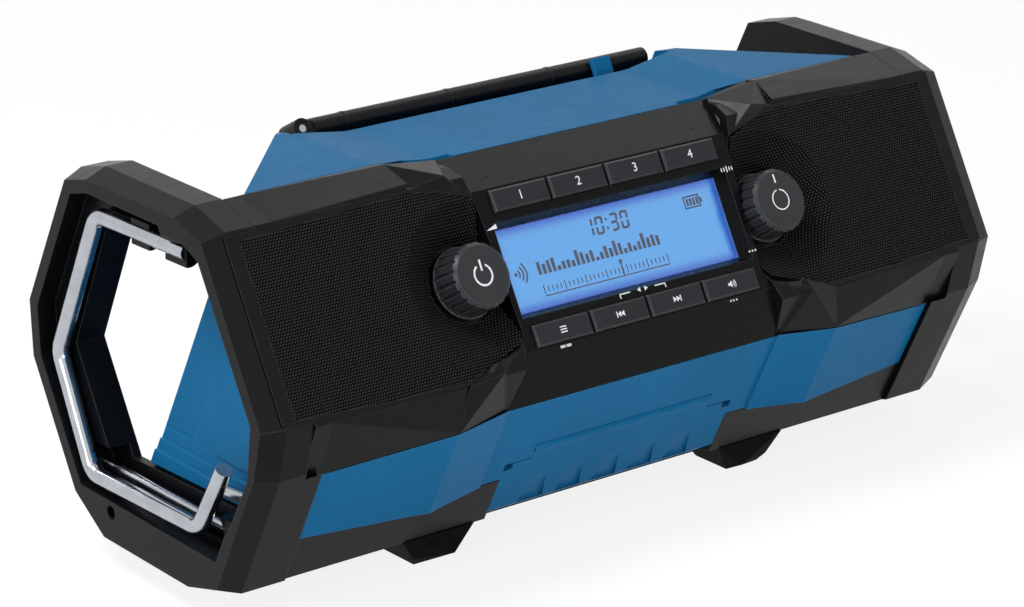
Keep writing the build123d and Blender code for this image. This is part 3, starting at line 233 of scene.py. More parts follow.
def moulded(name, colour, scuff_and_highlight_colour, roughness, grain, grain_depth, *, scuff_and_highlight, shine, edge=0.5):
    """A moulded plastic: spark-eroded grain, faint flow clouds and paler edges, partly scuffed
    wear and partly painted highlight.
    """
    material, tree, place = blank(name)
    fine = {"Vector": place, "Scale": per_metre(grain), "Detail": 2.0}
    cloud = {"Vector": place, "Scale": per_metre(CLOUD_SIZE), "Detail": 3.0}
    scuff = {"Vector": place, "Scale": per_metre(SCUFF_SIZE), "Detail": 5.0, "Roughness": 0.7}
    scuff = add(tree, NOISE, scuff)
    normal = add(tree, "ShaderNodeBevel", {"Radius": edge * MM}, samples=6)
    # Edges, broken up by the scuff noise, are painted paler: partly scuffed wear, partly painted
    # highlight
    marks = add(tree, MATHS, {0: edge_mask(tree, normal), 1: scuff}, operation="MULTIPLY")
    scuff_and_highlight_edges = add(tree, MATHS, {0: marks, 1: scuff_and_highlight}, operation="MULTIPLY")
    base = srgb(colour)
    shades = [(0.3, shade(base, 0.93)), (0.7, shade(base, 1.05))]
    clouds = toned(add(tree, RAMP, {"Fac": add(tree, NOISE, cloud)}), shades)
    tint = add(tree, "ShaderNodeMix", {"Factor": scuff_and_highlight_edges, "A": clouds, "B": srgb(scuff_and_highlight_colour)},
               data_type="RGBA")
    rough = add(tree, RANGE, {
        "Value": scuff,
        "From Min": 0.25,
        "From Max": 0.75,
        "To Min": roughness - ROUGH_SWING,
        "To Max": roughness + ROUGH_SWING,
    })
    relief = add(tree, "ShaderNodeBump", {
        "Height": add(tree, NOISE, fine),
        "Normal": normal,
        "Strength": 0.6,
        "Distance": grain_depth * MM,
    })
    return dressed(material, PRINCIPLED, {
        "Base Color": tint.outputs["Result"],
        "Roughness": rough,
        "Normal": relief,
        "IOR": PLASTIC_IOR,
        "Specular IOR Level": shine,
    })


def metal(name, colour, roughness, grain, grain_depth):
    """A bare or plated metal: a fine relief and faint handling marks."""
    material, tree, place = blank(name)
    fine = {"Vector": place, "Scale": per_metre(grain), "Detail": 2.0}
    marks = {"Vector": place, "Scale": per_metre(MARK_SIZE), "Detail": 4.0}
    marks = add(tree, NOISE, marks)
    base = srgb(colour)
    rough = add(tree, RANGE, {
        "Value": marks,
        "From Min": 0.3,
        "From Max": 0.7,
        "To Min": roughness * 0.7,
        "To Max": roughness * 1.4,
    })
    relief = add(tree, "ShaderNodeBump", {
        "Height": add(tree, NOISE, fine),
        "Normal": add(tree, "ShaderNodeBevel", {"Radius": METAL_EDGE * MM}, samples=4),
        "Strength": 0.4,
        "Distance": grain_depth * MM,
    })
    tone = toned(add(tree, RAMP, {"Fac": marks}), [(0.35, shade(base, 0.84)), (0.7, base)])
    return dressed(material, PRINCIPLED, {
        "Base Color": tone,
        "Roughness": rough,
        "Normal": relief,
        "Metallic": 1.0,
    })


def ink(name, colour, roughness):
    """Pad-printed ink, or another thin or dark surface: plain, and slightly mottled."""
    material, tree, place = blank(name)
    mottle = add(tree, NOISE, {"Vector": place, "Scale": per_metre(INK_MOTTLE), "Detail": 2.0})
    base = srgb(colour)
    tone = toned(add(tree, RAMP, {"Fac": mottle}), [(0.35, shade(base, 0.8)), (0.6, base)])
    return dressed(material, PRINCIPLED, {"Base Color": tone, "Roughness": roughness})


# ---------------------------------------------------------------- materials


# The second colour of each moulded finish is its paler edge colour: partly wear, partly painted
# highlight
def black_nylon():
    """Glass-filled nylon, moulded in a spark-eroded tool: near black, with a soft sheen."""
    return moulded("black_glass_filled_nylon", "#090a0c", "#494b4f", 0.32, 0.6, 0.014,
                   scuff_and_highlight=0.7, shine=0.12)


def blue_abs():
    """ABS moulded with a fine grain: an even mid blue, duller than the guards."""
    return moulded("blue_moulded_abs", "#0b5680", "#5a9cc0", 0.4, 0.5, 0.014,
                   scuff_and_highlight=0.6, shine=0.05)


def panel_abs():
    """Charcoal ABS with a satin varnish: smoother than the guards, so it takes the light."""
    return moulded("charcoal_varnished_abs", "#08090a", "#6a6c71", 0.26, 0.5, 0.006,
                   scuff_and_highlight=0.35, shine=0.08)


def key_abs():
    """Moulded ABS keys: dark grey, satin, with chamfers painted pale as wear and painted
    highlight.
    """
    return moulded("dark_grey_key_abs", "#1f2023", "#a2a4a9", 0.32, 0.5, 0.006,
                   scuff_and_highlight=0.9, shine=0.15, edge=0.35)


def knob_pc():
    """Polycarbonate blend of the knobs: dark grey, with the strongest sheen of the plastics."""
    return moulded("grey_knob_polycarbonate", "#222326", "#8f9196", 0.33, 0.45, 0.006,
                   scuff_and_highlight=0.6, shine=0.25, edge=0.4)


def foot_rubber():
    """Vulcanised rubber: very dark and dull, with edges a little paler from wear and painted
    highlight.
    """
    return moulded("black_vulcanised_rubber", "#060607", "#202123", 0.7, 0.7, 0.04,
                   scuff_and_highlight=0.3, shine=0.05)


def coated_steel():
    """Perforated steel sheet with a black powder coat: dull, with a fine orange peel."""
    return moulded("black_powder_coated_steel", "#0a0a0b", "#3b3d41", 0.6, 0.8, 0.02,
                   scuff_and_highlight=0.3, shine=0.01, edge=0.3)


def polished_rod():
    """Drawn steel rod, chrome plated: bright, with faint handling marks."""
    return metal("chrome_plated_drawn_rod", "#b9bdc4", 0.2, 0.4, 0.006)


def zinc_steel():
    """Zinc-plated steel of screws, shafts and pins: pale grey and a little rough."""
    return metal("zinc_plated_steel", "#a9acaf", 0.34, 0.3, 0.01)


def painted_hole_shade():
    """Painted shade: the dark seen in a hole of the sheet metal or at the bottom of a drive
    recess, laid on as a flat film.
    """
    return ink("dark_behind_perforation", "#070708", 0.9)


def liquid_crystal():
    """Darkened liquid crystal: near-black blue with a dull surface."""
    return ink("dark_liquid_crystal", "#0d2147", 0.5)


def white_ink():
    """White pad print, slightly grey because it is thin."""
    return ink("white_pad_print", "#d3d5d8", 0.5)


def clear_acrylic():
    """Cast acrylic window: clear, with a gloss that is uneven from handling."""
    material, tree, place = blank("clear_cast_acrylic")
    haze = add(tree, NOISE, {"Vector": place, "Scale": per_metre(HAZE_SIZE), "Detail": 5.0})
    rough = add(tree, RANGE, {
        "Value": haze,
        "From Min": 0.4,
        "From Max": 0.8,
        "To Min": 0.01,
        "To Max": 0.07,
    })
    return dressed(material, PRINCIPLED, {
        "Base Color": srgb("#f4f8ff"),
        "Roughness": rough,
        "IOR": ACRYLIC_IOR,
        "Transmission Weight": 1.0,
    })


def backlight():
    """Blue backlight behind the liquid crystal: pale in the middle, deeper blue at the rim."""
    material, tree, chart = blank("blue_display_backlight", "UV")
    parts = add(tree, "ShaderNodeSeparateXYZ", {"Vector": chart}).outputs
    distances = {}
    for place, half in enumerate(DISPLAY_HALF):
        off_centre = add(tree, MATHS, {0: parts[place], 1: 0.5}, operation="SUBTRACT")
        off_centre = add(tree, MATHS, {0: off_centre}, operation="ABSOLUTE")
        inward = add(tree, MATHS, {0: 0.5, 1: off_centre}, operation="SUBTRACT")
        distances[place] = add(tree, MATHS, {0: inward, 1: 2 * half}, operation="MULTIPLY")
    nearest = add(tree, MATHS, distances, operation="MINIMUM")
    share = add(tree, RANGE, {"Value": nearest, "From Min": 0.0, "From Max": RIM_REACH})
    stops = [(0.0, "#1d4cb4"), (0.3, "#3f80d6"), (0.62, "#5aa2e4"), (1.0, "#5aa8ea")]
    stops = [(position, srgb(code)) for position, code in stops]
    colour = toned(add(tree, RAMP, {"Fac": share}), stops)
    pixels = (*[2 * half / PIXEL_SIZE for half in DISPLAY_HALF], 1.0)
    cells = add(tree, "ShaderNodeTexBrick", {
        "Vector": add(tree, "ShaderNodeMapping", {"Vector": chart, "Scale": pixels}),
        "Mortar Size": 0.06,
        "Brick Width": 1.0,
        "Row Height": 1.0,
        "Scale": 1.0,
    }, offset=0.0)
    lines = add(tree, RAMP, {"Fac": cells.outputs["Fac"]})
    lines = toned(lines, [(0.0, grey(1.0)), (1.0, grey(0.9))])
    lit = add(tree, "ShaderNodeMix", {"Factor": 1.0, "A": colour, "B": lines},
              data_type="RGBA", blend_type="MULTIPLY")
    return dressed(material, EMISSION, {"Color": lit.outputs["Result"], "Strength": 1.0})


def circuit_board():
    """Fibreglass circuit board with green solder mask over copper tracks."""
    material, tree, place = blank("green_solder_mask_board")
    tracks = add(tree, "ShaderNodeTexBrick", {
        "Vector": place,
        "Color1": srgb("#0e4a2b"),
        "Color2": srgb("#12603a"),
        "Mortar": srgb("#0a2f1c"),
        "Scale": per_metre(TRACK_SIZE),
        "Mortar Size": 0.04,
    })
    return dressed(material, PRINCIPLED, {"Base Color": tracks, "Roughness": 0.3})


def backdrop_seen(tree):
    """One where the white backdrop is seen straight, in a reflection or through a window."""
    path = add(tree, "ShaderNodeLightPath").outputs
    straight = {0: path["Is Camera Ray"], 1: path["Is Transmission Ray"]}
    seen = {0: add(tree, MATHS, straight, operation="MAXIMUM"), 1: path["Is Glossy Ray"]}
    return add(tree, MATHS, seen, operation="MAXIMUM")


def stage_paint():
    """Matt white paint of the floor, which stays white behind the object and keeps its shadow."""
    material, tree, place = blank("white_floor_paint")
    cloud = {"Vector": place, "Scale": per_metre(FLOOR_CLOUD_SIZE), "Detail": 2.0}
    tone = add(tree, RAMP, {"Fac": add(tree, NOISE, cloud)})
    tone = toned(tone, [(0.2, srgb("#f4f4f4")), (0.8, srgb("#fafafa"))])
    seen = {0: backdrop_seen(tree), 1: FLOOR_WHITE_SHARE}
    return dressed(material, "ShaderNodeMixShader", {
        0: add(tree, MATHS, seen, operation="MULTIPLY"),
        1: add(tree, "ShaderNodeBsdfDiffuse", {"Color": tone}),
        2: add(tree, EMISSION, {"Color": srgb("#ffffff"), "Strength": 1.0}),
    })


FINISHES = {
    "black_plastic": black_nylon,
    "blue_plastic": blue_abs,
    "grey_plastic": key_abs,
    "panel_plastic": panel_abs,
    "knob_plastic": knob_pc,
    "grille_metal": coated_steel,
    "bright_steel": polished_rod,
    "plain_steel": zinc_steel,
    "clear_window": clear_acrylic,
    "display": panel_abs,
    "board": circuit_board,
    "foam": foot_rubber,
    "foot_rubber": foot_rubber,
    "paper_cone": foot_rubber,
}
_made = {}


def finish(maker):
    """The material that a maker function gives, made once."""
    if maker.__name__ not in _made:
        _made[maker.__name__] = maker()
    return _made[maker.__name__]


# ---------------------------------------------------------------- mesh helpers


def link(name, mesh, material=None):
    """A new object for a mesh, with its material."""
    item = bpy.data.objects.new(name, mesh)
    bpy.context.scene.collection.objects.link(item)
    if material:
        item.data.materials.clear()
        item.data.materials.append(material)
    return item


def settle(item, body):
    """Rides a finished piece on its body."""
    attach(item, body)


def spot(x, y, z):
    """A place in the section, leaned back with it."""
    return LEAN @ Vector((x * MM, y * MM, z * MM))


def on_front(x, depth, z):
    """Places a drawing on a plane that faces the front of the radio."""
    plane = Matrix(((1, 0, 0, x * MM), (0, 0, -1, depth * MM), (0, 1, 0, z * MM), (0, 0, 0, 1)))
    return LEAN @ plane


def film(name, loops, place, material):
    """A thin raised film for flat outlines, each a list of (right, up) points."""
    shape = bmesh.new()
    for loop in loops:
        area = sum(a[0] * b[1] - b[0] * a[1] for a, b in zip(loop, loop[1:] + loop[:1]))
        ordered = loop if area > 0 else loop[::-1]
        low = [shape.verts.new((u * MM, v * MM, 0.0)) for u, v in ordered]
        high = [shape.verts.new((u * MM, v * MM, INK_THICK * MM)) for u, v in ordered]
        shape.faces.new(high)
        shape.faces.new(low[::-1])
        for i in range(len(low)):
            j = (i + 1) % len(low)
            shape.faces.new((low[i], low[j], high[j], high[i]))
    shape.transform(place)
    mesh = bpy.data.meshes.new(name)
    shape.to_mesh(mesh)
    shape.free()
    return link(name, mesh, material)


def numeral(name, text, height, place, material):
    """A printed numeral as a thin film, centred on its place."""
    curve = bpy.data.curves.new(name, "FONT")
    curve.body = text
    curve.align_x = "CENTER"
    curve.align_y = "CENTER"
    curve.size = height / NUMERAL_SHARE * MM
    curve.extrude = INK_THICK * MM / 2
    maker = bpy.data.objects.new(name + "_curve", curve)
    bpy.context.scene.collection.objects.link(maker)
    seen = maker.evaluated_get(bpy.context.evaluated_depsgraph_get())
    mesh = bpy.data.meshes.new_from_object(seen)
    bpy.data.objects.remove(maker)
    mesh.transform(place @ Matrix.Translation((0.0, 0.0, INK_THICK * MM / 2)))
    return link(name, mesh, material)


def arc(radius, width, start, end, steps=28, centre=(0.0, 0.0)):
    """Outline of a curved stroke between two angles in degrees."""
    def at(r, i):
        turn = math.radians(start + (end - start) * i / steps)
        return (centre[0] + r * math.cos(turn), centre[1] + r * math.sin(turn))
    outer = [at(radius + width / 2, i) for i in range(steps + 1)]
    inner = [at(radius - width / 2, i) for i in range(steps + 1)]
    return outer + inner[::-1]


def bar(u, v, width, height):
    """Outline of an upright rectangle by its middle."""
    left, right, low, high = u - width / 2, u + width / 2, v - height / 2, v + height / 2
    return [(left, low), (right, low), (right, high), (left, high)]


def strips(loops):
    """Curved outlines cut into four-sided pieces, so that each piece is flat and convex."""
    pieces = []
    for loop in loops:
        if len(loop) <= PLAIN_CORNERS:
            pieces.append(loop)
            continue
        half = len(loop) // 2
        outer, inner = loop[:half], loop[half:][::-1]
        pieces += [[outer[i], outer[i + 1], inner[i + 1], inner[i]] for i in range(half - 1)]
    return pieces


def segments(digit, u, v, wide, tall, stroke):
    """Outlines of a seven-segment digit with its lower left corner at (u, v)."""
    lit = {"0": "abcdef", "1": "bc", "3": "abcdg"}[digit]
    half = tall / 2
    across = {"a": tall - stroke / 2, "g": half, "d": stroke / 2}
    upright = {"f": (0, half), "b": (wide, half), "e": (0, 0), "c": (wide, 0)}
    slant = 0.08
    loops = []
    for name in lit:
        if name in across:
            loops.append(bar(wide / 2, across[name], wide - stroke * 1.1, stroke))
        else:
            x, z = upright[name]
            x = stroke / 2 if x == 0 else wide - stroke / 2
            loops.append(bar(x, z + half / 2, stroke, half - stroke * 0.9))
    return [[(u + x + z * slant, v + z) for x, z in loop] for loop in loops]


def skip(direction):
    """Outlines of a skip sign: two triangles and a bar."""
    loops = []
    for shift in (-1.3, 0.3):
        loops.append([(shift - 0.4, -1.1), (shift + 1.2, 0.0), (shift - 0.4, 1.1)])
    loops.append(bar(1.8, 0.0, 0.45, 2.3))
    return [[(direction * u, v) for u, v in loop] for loop in loops]


def points_mesh(name, points):
    """A mesh of loose points."""
    mesh = bpy.data.meshes.new(name)
    mesh.from_pydata([tuple(point) for point in points], [], [])
    return mesh


# ---------------------------------------------------------------- node trees


def growth(name, **inputs):
    """A geometry tree with named inputs, and the outputs of its first node."""
    tree = bpy.data.node_groups.new(name, "GeometryNodeTree")
    sockets = [("Geometry", "INPUT", "Geometry"), ("Geometry", "OUTPUT", "Geometry")]
    sockets += [(label, "INPUT", kind) for label, kind in inputs.items()]
    for label, way, kind in sockets:
        tree.interface.new_socket(name=label, in_out=way, socket_type="NodeSocket" + kind)
    return tree, add(tree, "NodeGroupInput").outputs


def close(tree, geometry, material):
    """Ends a tree: instances made real, then the material set. Gives the tree back."""
    real = add(tree, "GeometryNodeRealizeInstances", {"Geometry": geometry})
    done = add(tree, "GeometryNodeSetMaterial", {"Geometry": real, "Material": material})
    add(tree, "NodeGroupOutput", {0: done})
    return tree


def grown(name, mesh, tree, values):
    """Runs a tree on a mesh and keeps the result as a plain mesh."""
    item = link(name, mesh)
    modifier = item.modifiers.new(tree.name, "NODES")
    modifier.node_group = tree
    for socket in tree.interface.items_tree:
        if socket.in_out == "INPUT" and socket.name in values:
            modifier[socket.identifier] = values[socket.name]
    seen = item.evaluated_get(bpy.context.evaluated_depsgraph_get())
    result = bpy.data.meshes.new_from_object(seen)
    item.modifiers.clear()
    item.data = result
    if not result.polygons:
        raise RuntimeError(name + " came out empty")
    return item


def perforation_tree():
    """Staggered holes, flat discs of painted shade, laid over a formed sheet, each turned to the
    sheet under it.
    """
    tree, given = growth("perforations", Sheet="Object", Pitch="Float", Hole="Float",
                         Width="Float", Height="Float", Middle="Vector", Lean="Float",
                         Ray="Vector", Lift="Float", Material="Material")
    row = add(tree, MATHS, {0: given["Pitch"], 1: ROW_SHARE}, operation="MULTIPLY")
    rows = add(tree, MATHS, {0: given["Height"], 1: row}, operation="DIVIDE")
    rows = add(tree, MATHS, {0: rows}, operation="FLOOR")
    across = add(tree, MATHS, {0: given["Width"], 1: given["Pitch"]}, operation="DIVIDE")
    grid = add(tree, "GeometryNodeMeshGrid", {
        "Size X": given["Width"],
        "Size Y": given["Height"],
        "Vertices X": across,
        "Vertices Y": rows,
    })

    # Every other row is moved along by half a step
    index = add(tree, "GeometryNodeInputIndex")
    in_row = add(tree, MATHS, {0: index, 1: rows}, operation="MODULO")
    odd = add(tree, MATHS, {0: in_row, 1: 2.0}, operation="MODULO")
    step = add(tree, MATHS, {0: odd, 1: given["Pitch"]}, operation="MULTIPLY")
    half_step = add(tree, MATHS, {0: step, 1: 0.5}, operation="MULTIPLY")
    shift = add(tree, COMBINE, {"X": half_step})
    offset = add(tree, SET_POSITION, {"Geometry": grid, "Offset": shift})
    placed = add(tree, "GeometryNodeTransform", {
        "Geometry": offset,
        "Translation": given["Middle"],
        "Rotation": add(tree, COMBINE, {"X": given["Lean"]}),
    })

    # Each point is dropped on to the sheet, and kept where the sheet faces it
    sheet = add(tree, "GeometryNodeObjectInfo", {"Object": given["Sheet"]},
                transform_space="ORIGINAL")
    hit = add(tree, "GeometryNodeRaycast", {
        "Target Geometry": sheet.outputs["Geometry"],
        "Ray Direction": given["Ray"],
        "Ray Length": DROP_LENGTH * MM,
    }).outputs
    lift = add(tree, VECTOR_MATHS, {0: hit["Hit Normal"], "Scale": given["Lift"]},
               operation="SCALE")
    above = add(tree, VECTOR_MATHS, {0: hit["Hit Position"], 1: lift}, operation="ADD")
    facing = add(tree, VECTOR_MATHS, {0: hit["Hit Normal"], 1: given["Ray"]},
                 operation="DOT_PRODUCT")
    seen = add(tree, "FunctionNodeCompare", {0: facing.outputs["Value"], 1: FACING_LIMIT},
               data_type="FLOAT", operation="LESS_THAN")
    kept = add(tree, "FunctionNodeBooleanMath", {0: hit["Is Hit"], 1: seen}, operation="AND")
    aim = add(tree, ALIGN, {"Vector": hit["Hit Normal"]}, axis="Z")
    points = placed
    for name, kind, value in (("aim", "QUATERNION", aim), ("kept", "BOOLEAN", kept)):
        points = add(tree, "GeometryNodeStoreNamedAttribute",
                     {"Geometry": points, "Name": name, "Value": value},
                     data_type=kind, domain="POINT")
    dropped = add(tree, SET_POSITION, {"Geometry": points, "Position": above})
    radius = add(tree, MATHS, {0: given["Hole"], 1: 0.5}, operation="MULTIPLY")
    disc = add(tree, "GeometryNodeMeshCircle", {"Vertices": 6, "Radius": radius},
               fill_type="NGON")
    holes = add(tree, INSTANCES, {
        "Points": dropped,
        "Selection": add(tree, ATTRIBUTE, {"Name": "kept"}, data_type="BOOLEAN"),
        "Instance": disc,
        "Rotation": add(tree, ATTRIBUTE, {"Name": "aim"}, data_type="QUATERNION"),
    })
    return close(tree, holes, given["Material"])


def recess_tree():
    """A six-lobed drive recess as a flat patch of painted shade, laid on each point of a mesh and
    turned to one axis.
    """
    tree, given = growth("drive_recesses", Radius="Float", Axis="Vector", Material="Material")
    inner = add(tree, MATHS, {0: given["Radius"], 1: RECESS_WAIST}, operation="MULTIPLY")
    star = add(tree, "GeometryNodeCurveStar",
               {"Points": 6, "Inner Radius": inner, "Outer Radius": given["Radius"]})
    lobes = add(tree, "GeometryNodeFilletCurve",
                {"Curve": star, "Count": 3, "Radius": LOBE_FILLET * MM}, mode="POLY")
    placed = add(tree, INSTANCES, {
        "Points": given[0],
        "Instance": add(tree, "GeometryNodeFillCurve", {"Curve": lobes}, mode="NGONS"),
        "Rotation": add(tree, ALIGN, {"Vector": given["Axis"]}, axis="Z"),
    })
    return close(tree, placed, given["Material"])


def meter_tree():
    """A row of upright bars whose heights follow a wave."""
    tree, given = growth("level_meter", Count="Int", Step="Float", Bar="Float", Low="Float",
                         High="Float", Thick="Float", Material="Material")
    run = add(tree, COMBINE, {"X": given["Step"]})
    line = add(tree, "GeometryNodeMeshLine", {"Count": given["Count"], "Offset": run},
               mode="OFFSET")
    index = add(tree, "GeometryNodeInputIndex")
    slow = add(tree, MATHS, {0: index, 1: 0.9}, operation="MULTIPLY")
    wave = add(tree, MATHS, {0: slow}, operation="SINE")
    fast = add(tree, MATHS, {0: index, 1: 2.3}, operation="MULTIPLY")
    ripple = add(tree, MATHS, {0: fast}, operation="COSINE")
    tall = add(tree, RANGE, {
        "Value": add(tree, MATHS, {0: wave, 1: ripple}, operation="ADD"),
        "From Min": -2.0,
        "From Max": 2.0,
        "To Min": given["Low"],
        "To Max": given["High"],
    })
    half = add(tree, MATHS, {0: tall, 1: 0.5}, operation="MULTIPLY")
    rise = add(tree, COMBINE, {"Y": half})
    bars = add(tree, INSTANCES, {
        "Points": add(tree, SET_POSITION, {"Geometry": line, "Offset": rise}),
        "Instance": add(tree, "GeometryNodeMeshCube", {"Size": (1.0, 1.0, 1.0)}),
        "Scale": add(tree, COMBINE, {"X": given["Bar"], "Y": tall, "Z": given["Thick"]}),
    })
    return close(tree, bars, given["Material"])


def ring_tree():
    """Thin rings spaced along a bar."""
    tree, given = growth("rod_rings", Count="Int", Start="Vector", Step="Vector",
                         Radius="Float", Width="Float", Material="Material")
    line = add(tree, "GeometryNodeMeshLine", {
        "Count": given["Count"],
        "Start Location": given["Start"],
        "Offset": given["Step"],
    }, mode="OFFSET")
    ring = add(tree, "GeometryNodeMeshCylinder",
               {"Vertices": 40, "Radius": given["Radius"], "Depth": given["Width"]},
               fill_type="NGON")
    rings = add(tree, INSTANCES, {
        "Points": line,
        "Instance": ring,
        "Rotation": add(tree, ALIGN, {"Vector": given["Step"]}, axis="Z"),
    })
    return close(tree, rings, given["Material"])


# ---------------------------------------------------------------- settings


class RadioGrilleSettings(bpy.types.PropertyGroup):
    """Sizes of the perforated sheet."""

    pitch: bpy.props.FloatProperty(
        name="Hole pitch", description="Distance between holes in a row",
        default=0.00125, min=0.0008, unit="LENGTH")
    hole: bpy.props.FloatProperty(
        name="Hole", description="Diameter of each hole",
        default=0.00078, min=0.0003, unit="LENGTH")


class RadioMarkSettings(bpy.types.PropertyGroup):
    """Sizes of the printing."""

    height: bpy.props.FloatProperty(
        name="Numeral height", description="Height of the printed numerals",
        default=0.0034, min=0.001, unit="LENGTH")
    stroke: bpy.props.FloatProperty(
        name="Stroke", description="Width of the printed lines",
        default=0.00045, min=0.0001, unit="LENGTH")


class RadioStageSettings(bpy.types.PropertyGroup):
    """Light levels of the stage."""

    key: bpy.props.FloatProperty(
        name="Key light", description="Power of the light overhead on the left",
        default=26.0, min=0.0, subtype="POWER")
    rim: bpy.props.FloatProperty(
        name="Rim light", description="Power of the light behind on the right",
        default=3.5, min=0.0, subtype="POWER")
    side: bpy.props.FloatProperty(
        name="Side light", description="Power of the light on the left",
        default=16.0, min=0.0, subtype="POWER")
    fill: bpy.props.FloatProperty(
        name="Fill light", description="Power of the low light in front",
        default=22.0, min=0.0, subtype="POWER")
    sky: bpy.props.FloatProperty(
        name="Surround", description="Strength of the even light all round",
        default=0.3, min=0.0)


# ---------------------------------------------------------------- operators


class RADIO_OT_finishes(bpy.types.Operator):
    """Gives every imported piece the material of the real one"""

    bl_idname = "radio.finishes"
    bl_label = "Finish packed pieces"

    def execute(self, context):
        slots = {row["node"]: row["material_slot"] for row in frame["record"]["subparts"]}
        for name, item in frame["nodes"].items():
            slot = "panel_plastic" if name == "control_panel" else slots[name]
            material = finish(FINISHES[slot])
            if not item.material_slots:
                item.data.materials.append(material)
            for place in item.material_slots:
                place.material = material
        return {"FINISHED"}


class RADIO_OT_perforations(bpy.types.Operator):
    """Lays the holes, as discs of painted shade, over both formed grilles"""

    bl_idname = "radio.perforations"
    bl_label = "Grille holes"

    def execute(self, context):
        settings = context.scene.radio_grille
        tree = perforation_tree()
        for side, sign in (("left", -1.0), ("right", 1.0)):
            values = {
                "Sheet": frame["nodes"][side + "_grille"],
                "Pitch": settings.pitch,
                "Hole": settings.hole,
                "Width": GRILLE_SPAN[0] * MM,
                "Height": GRILLE_SPAN[1] * MM,
                "Middle": spot(sign * GRILLE_MIDDLE, FACE_DEPTH - GRILLE_AHEAD, 0.0),
                "Lean": math.radians(90.0) + LEAN_ANGLE,
                "Ray": INTO_FACE,
                "Lift": HOLE_LIFT * MM,
                "Material": finish(painted_hole_shade),
            }
            holes = grown(side + "_grille_holes", bpy.data.meshes.new("start"), tree, values)
            settle(holes, "radio_body")
        return {"FINISHED"}


class RADIO_OT_display(bpy.types.Operator):
    """Makes the lit display: backlight, clock digits, level bars, tuning scale and battery sign"""

    bl_idname = "radio.display"
    bl_label = "Display"

    def execute(self, context):
        wide, high = DISPLAY_HALF
        sheet = bpy.data.meshes.new("display_backlight")
        corners = [(-wide, -high), (wide, -high), (wide, high), (-wide, high)]
        place = on_front(0.0, DISPLAY_DEPTH - BACKLIGHT_LIFT, DISPLAY_CENTRE)
        points = [place @ Vector((u * MM, v * MM, 0.0)) for u, v in corners]
        sheet.from_pydata(points, [], [(0, 1, 2, 3)])
        chart = sheet.uv_layers.new(name="chart")
        for loop, point in zip(chart.data, ((0, 0), (1, 0), (1, 1), (0, 1))):
            loop.uv = point
        settle(link("display_backlight", sheet, finish(backlight)), "radio_body")

        # Places on the display are (right, up) from its middle
        crystal = finish(liquid_crystal)
        clock = [bar(-0.9, 7.2, 0.9, 0.9), bar(-0.7, 10.6, 0.9, 0.9)]
        digits = []
        for digit, u in zip("1030", (-11.6, -6.6, 0.6, 5.6)):
            digits += segments(digit, u, 5.4, 3.8, 7.0, 1.0)
        battery = [bar(41.5, 11.4, 8.0, 0.6), bar(41.5, 7.0, 8.0, 0.6)]
        battery += [bar(37.8, 9.2, 0.6, 4.4), bar(45.2, 9.2, 0.6, 4.4), bar(46.1, 9.2, 0.9, 2.0)]
        battery += [bar(39.3 + 1.6 * step, 9.2, 1.1, 2.9) for step in range(4)]
        waves = [arc(radius, 0.7, -48, 48, 10, (-48.5, -1.4)) for radius in (1.8, 3.4, 5.0)]
        waves.append(bar(-48.5, -1.4, 1.2, 1.2))
        scale = []
        for step in range(31):
            scale.append(bar(-38.0 + 2.0 * step, -9.2, 0.45, 3.4 if step % 5 == 0 else 2.0))
        scale += [bar(-8.0, -11.6, 60.6, 0.45), [(-1.2, -5.4), (0.8, -5.4), (-0.2, -8.2)]]
        scale.append(bar(-0.2, -9.4, 0.8, 3.6))
        signs = {
            "clock": digits + clock,
            "battery": battery,
            "signal": strips(waves),
            "scale": scale,
        }
        place = on_front(0.0, DISPLAY_DEPTH - CRYSTAL_LIFT, DISPLAY_CENTRE)
        for name, loops in signs.items():
            settle(film("display_" + name, loops, place, crystal), "radio_body")

        values = {
            "Count": 26,
            "Step": 2.3 * MM,
            "Bar": 1.5 * MM,
            "Low": 1.0 * MM,
            "High": 6.2 * MM,
            "Thick": INK_THICK * MM,
            "Material": crystal,
        }
        meter = grown("display_meter", bpy.data.meshes.new("start"), meter_tree(), values)
        x, up = METER_START
        depth = DISPLAY_DEPTH - CRYSTAL_LIFT - INK_THICK / 2
        meter.data.transform(on_front(x, depth, DISPLAY_CENTRE + up))
        settle(meter, "radio_body")
        return {"FINISHED"}


class RADIO_OT_button_marks(bpy.types.Operator):
    """Prints numerals on the preset keys and generic signs on the lower keys"""

    bl_idname = "radio.button_marks"
    bl_label = "Button marks"

    def execute(self, context):
        white = finish(white_ink)
        height = context.scene.radio_marks.height / MM
        menu = [bar(0.0, v, 3.0, 0.45) for v in (-1.0, 0.0, 1.0)]
        sound = [[(-1.8, -0.5), (-1.0, -0.5), (-1.0, 0.5), (-1.8, 0.5)]]
        sound.append([(-1.0, -0.5), (0.1, -1.3), (0.1, 1.3), (-1.0, 0.5)])
        sound += [arc(radius, 0.35, -50, 50, 8, (0.1, 0.0)) for radius in (1.0, 1.8)]
        signs = [menu, skip(-1.0), skip(1.0), strips(sound)]
        for place, loops in enumerate(signs):
            number = str(place + 1)
            x = BUTTON_PITCH * (place - 1.5)
            top = on_front(x, FACE_DEPTH, PRESET_HEIGHT)
            digit = numeral("preset_" + number + "_numeral", number, height, top, white)
            settle(digit, "preset_button_" + number + "_body")
            low = on_front(x, FACE_DEPTH, MENU_HEIGHT)
            sign = film("menu_" + number + "_sign", loops, low, white)
            settle(sign, "menu_button_" + number + "_body")
        return {"FINISHED"}


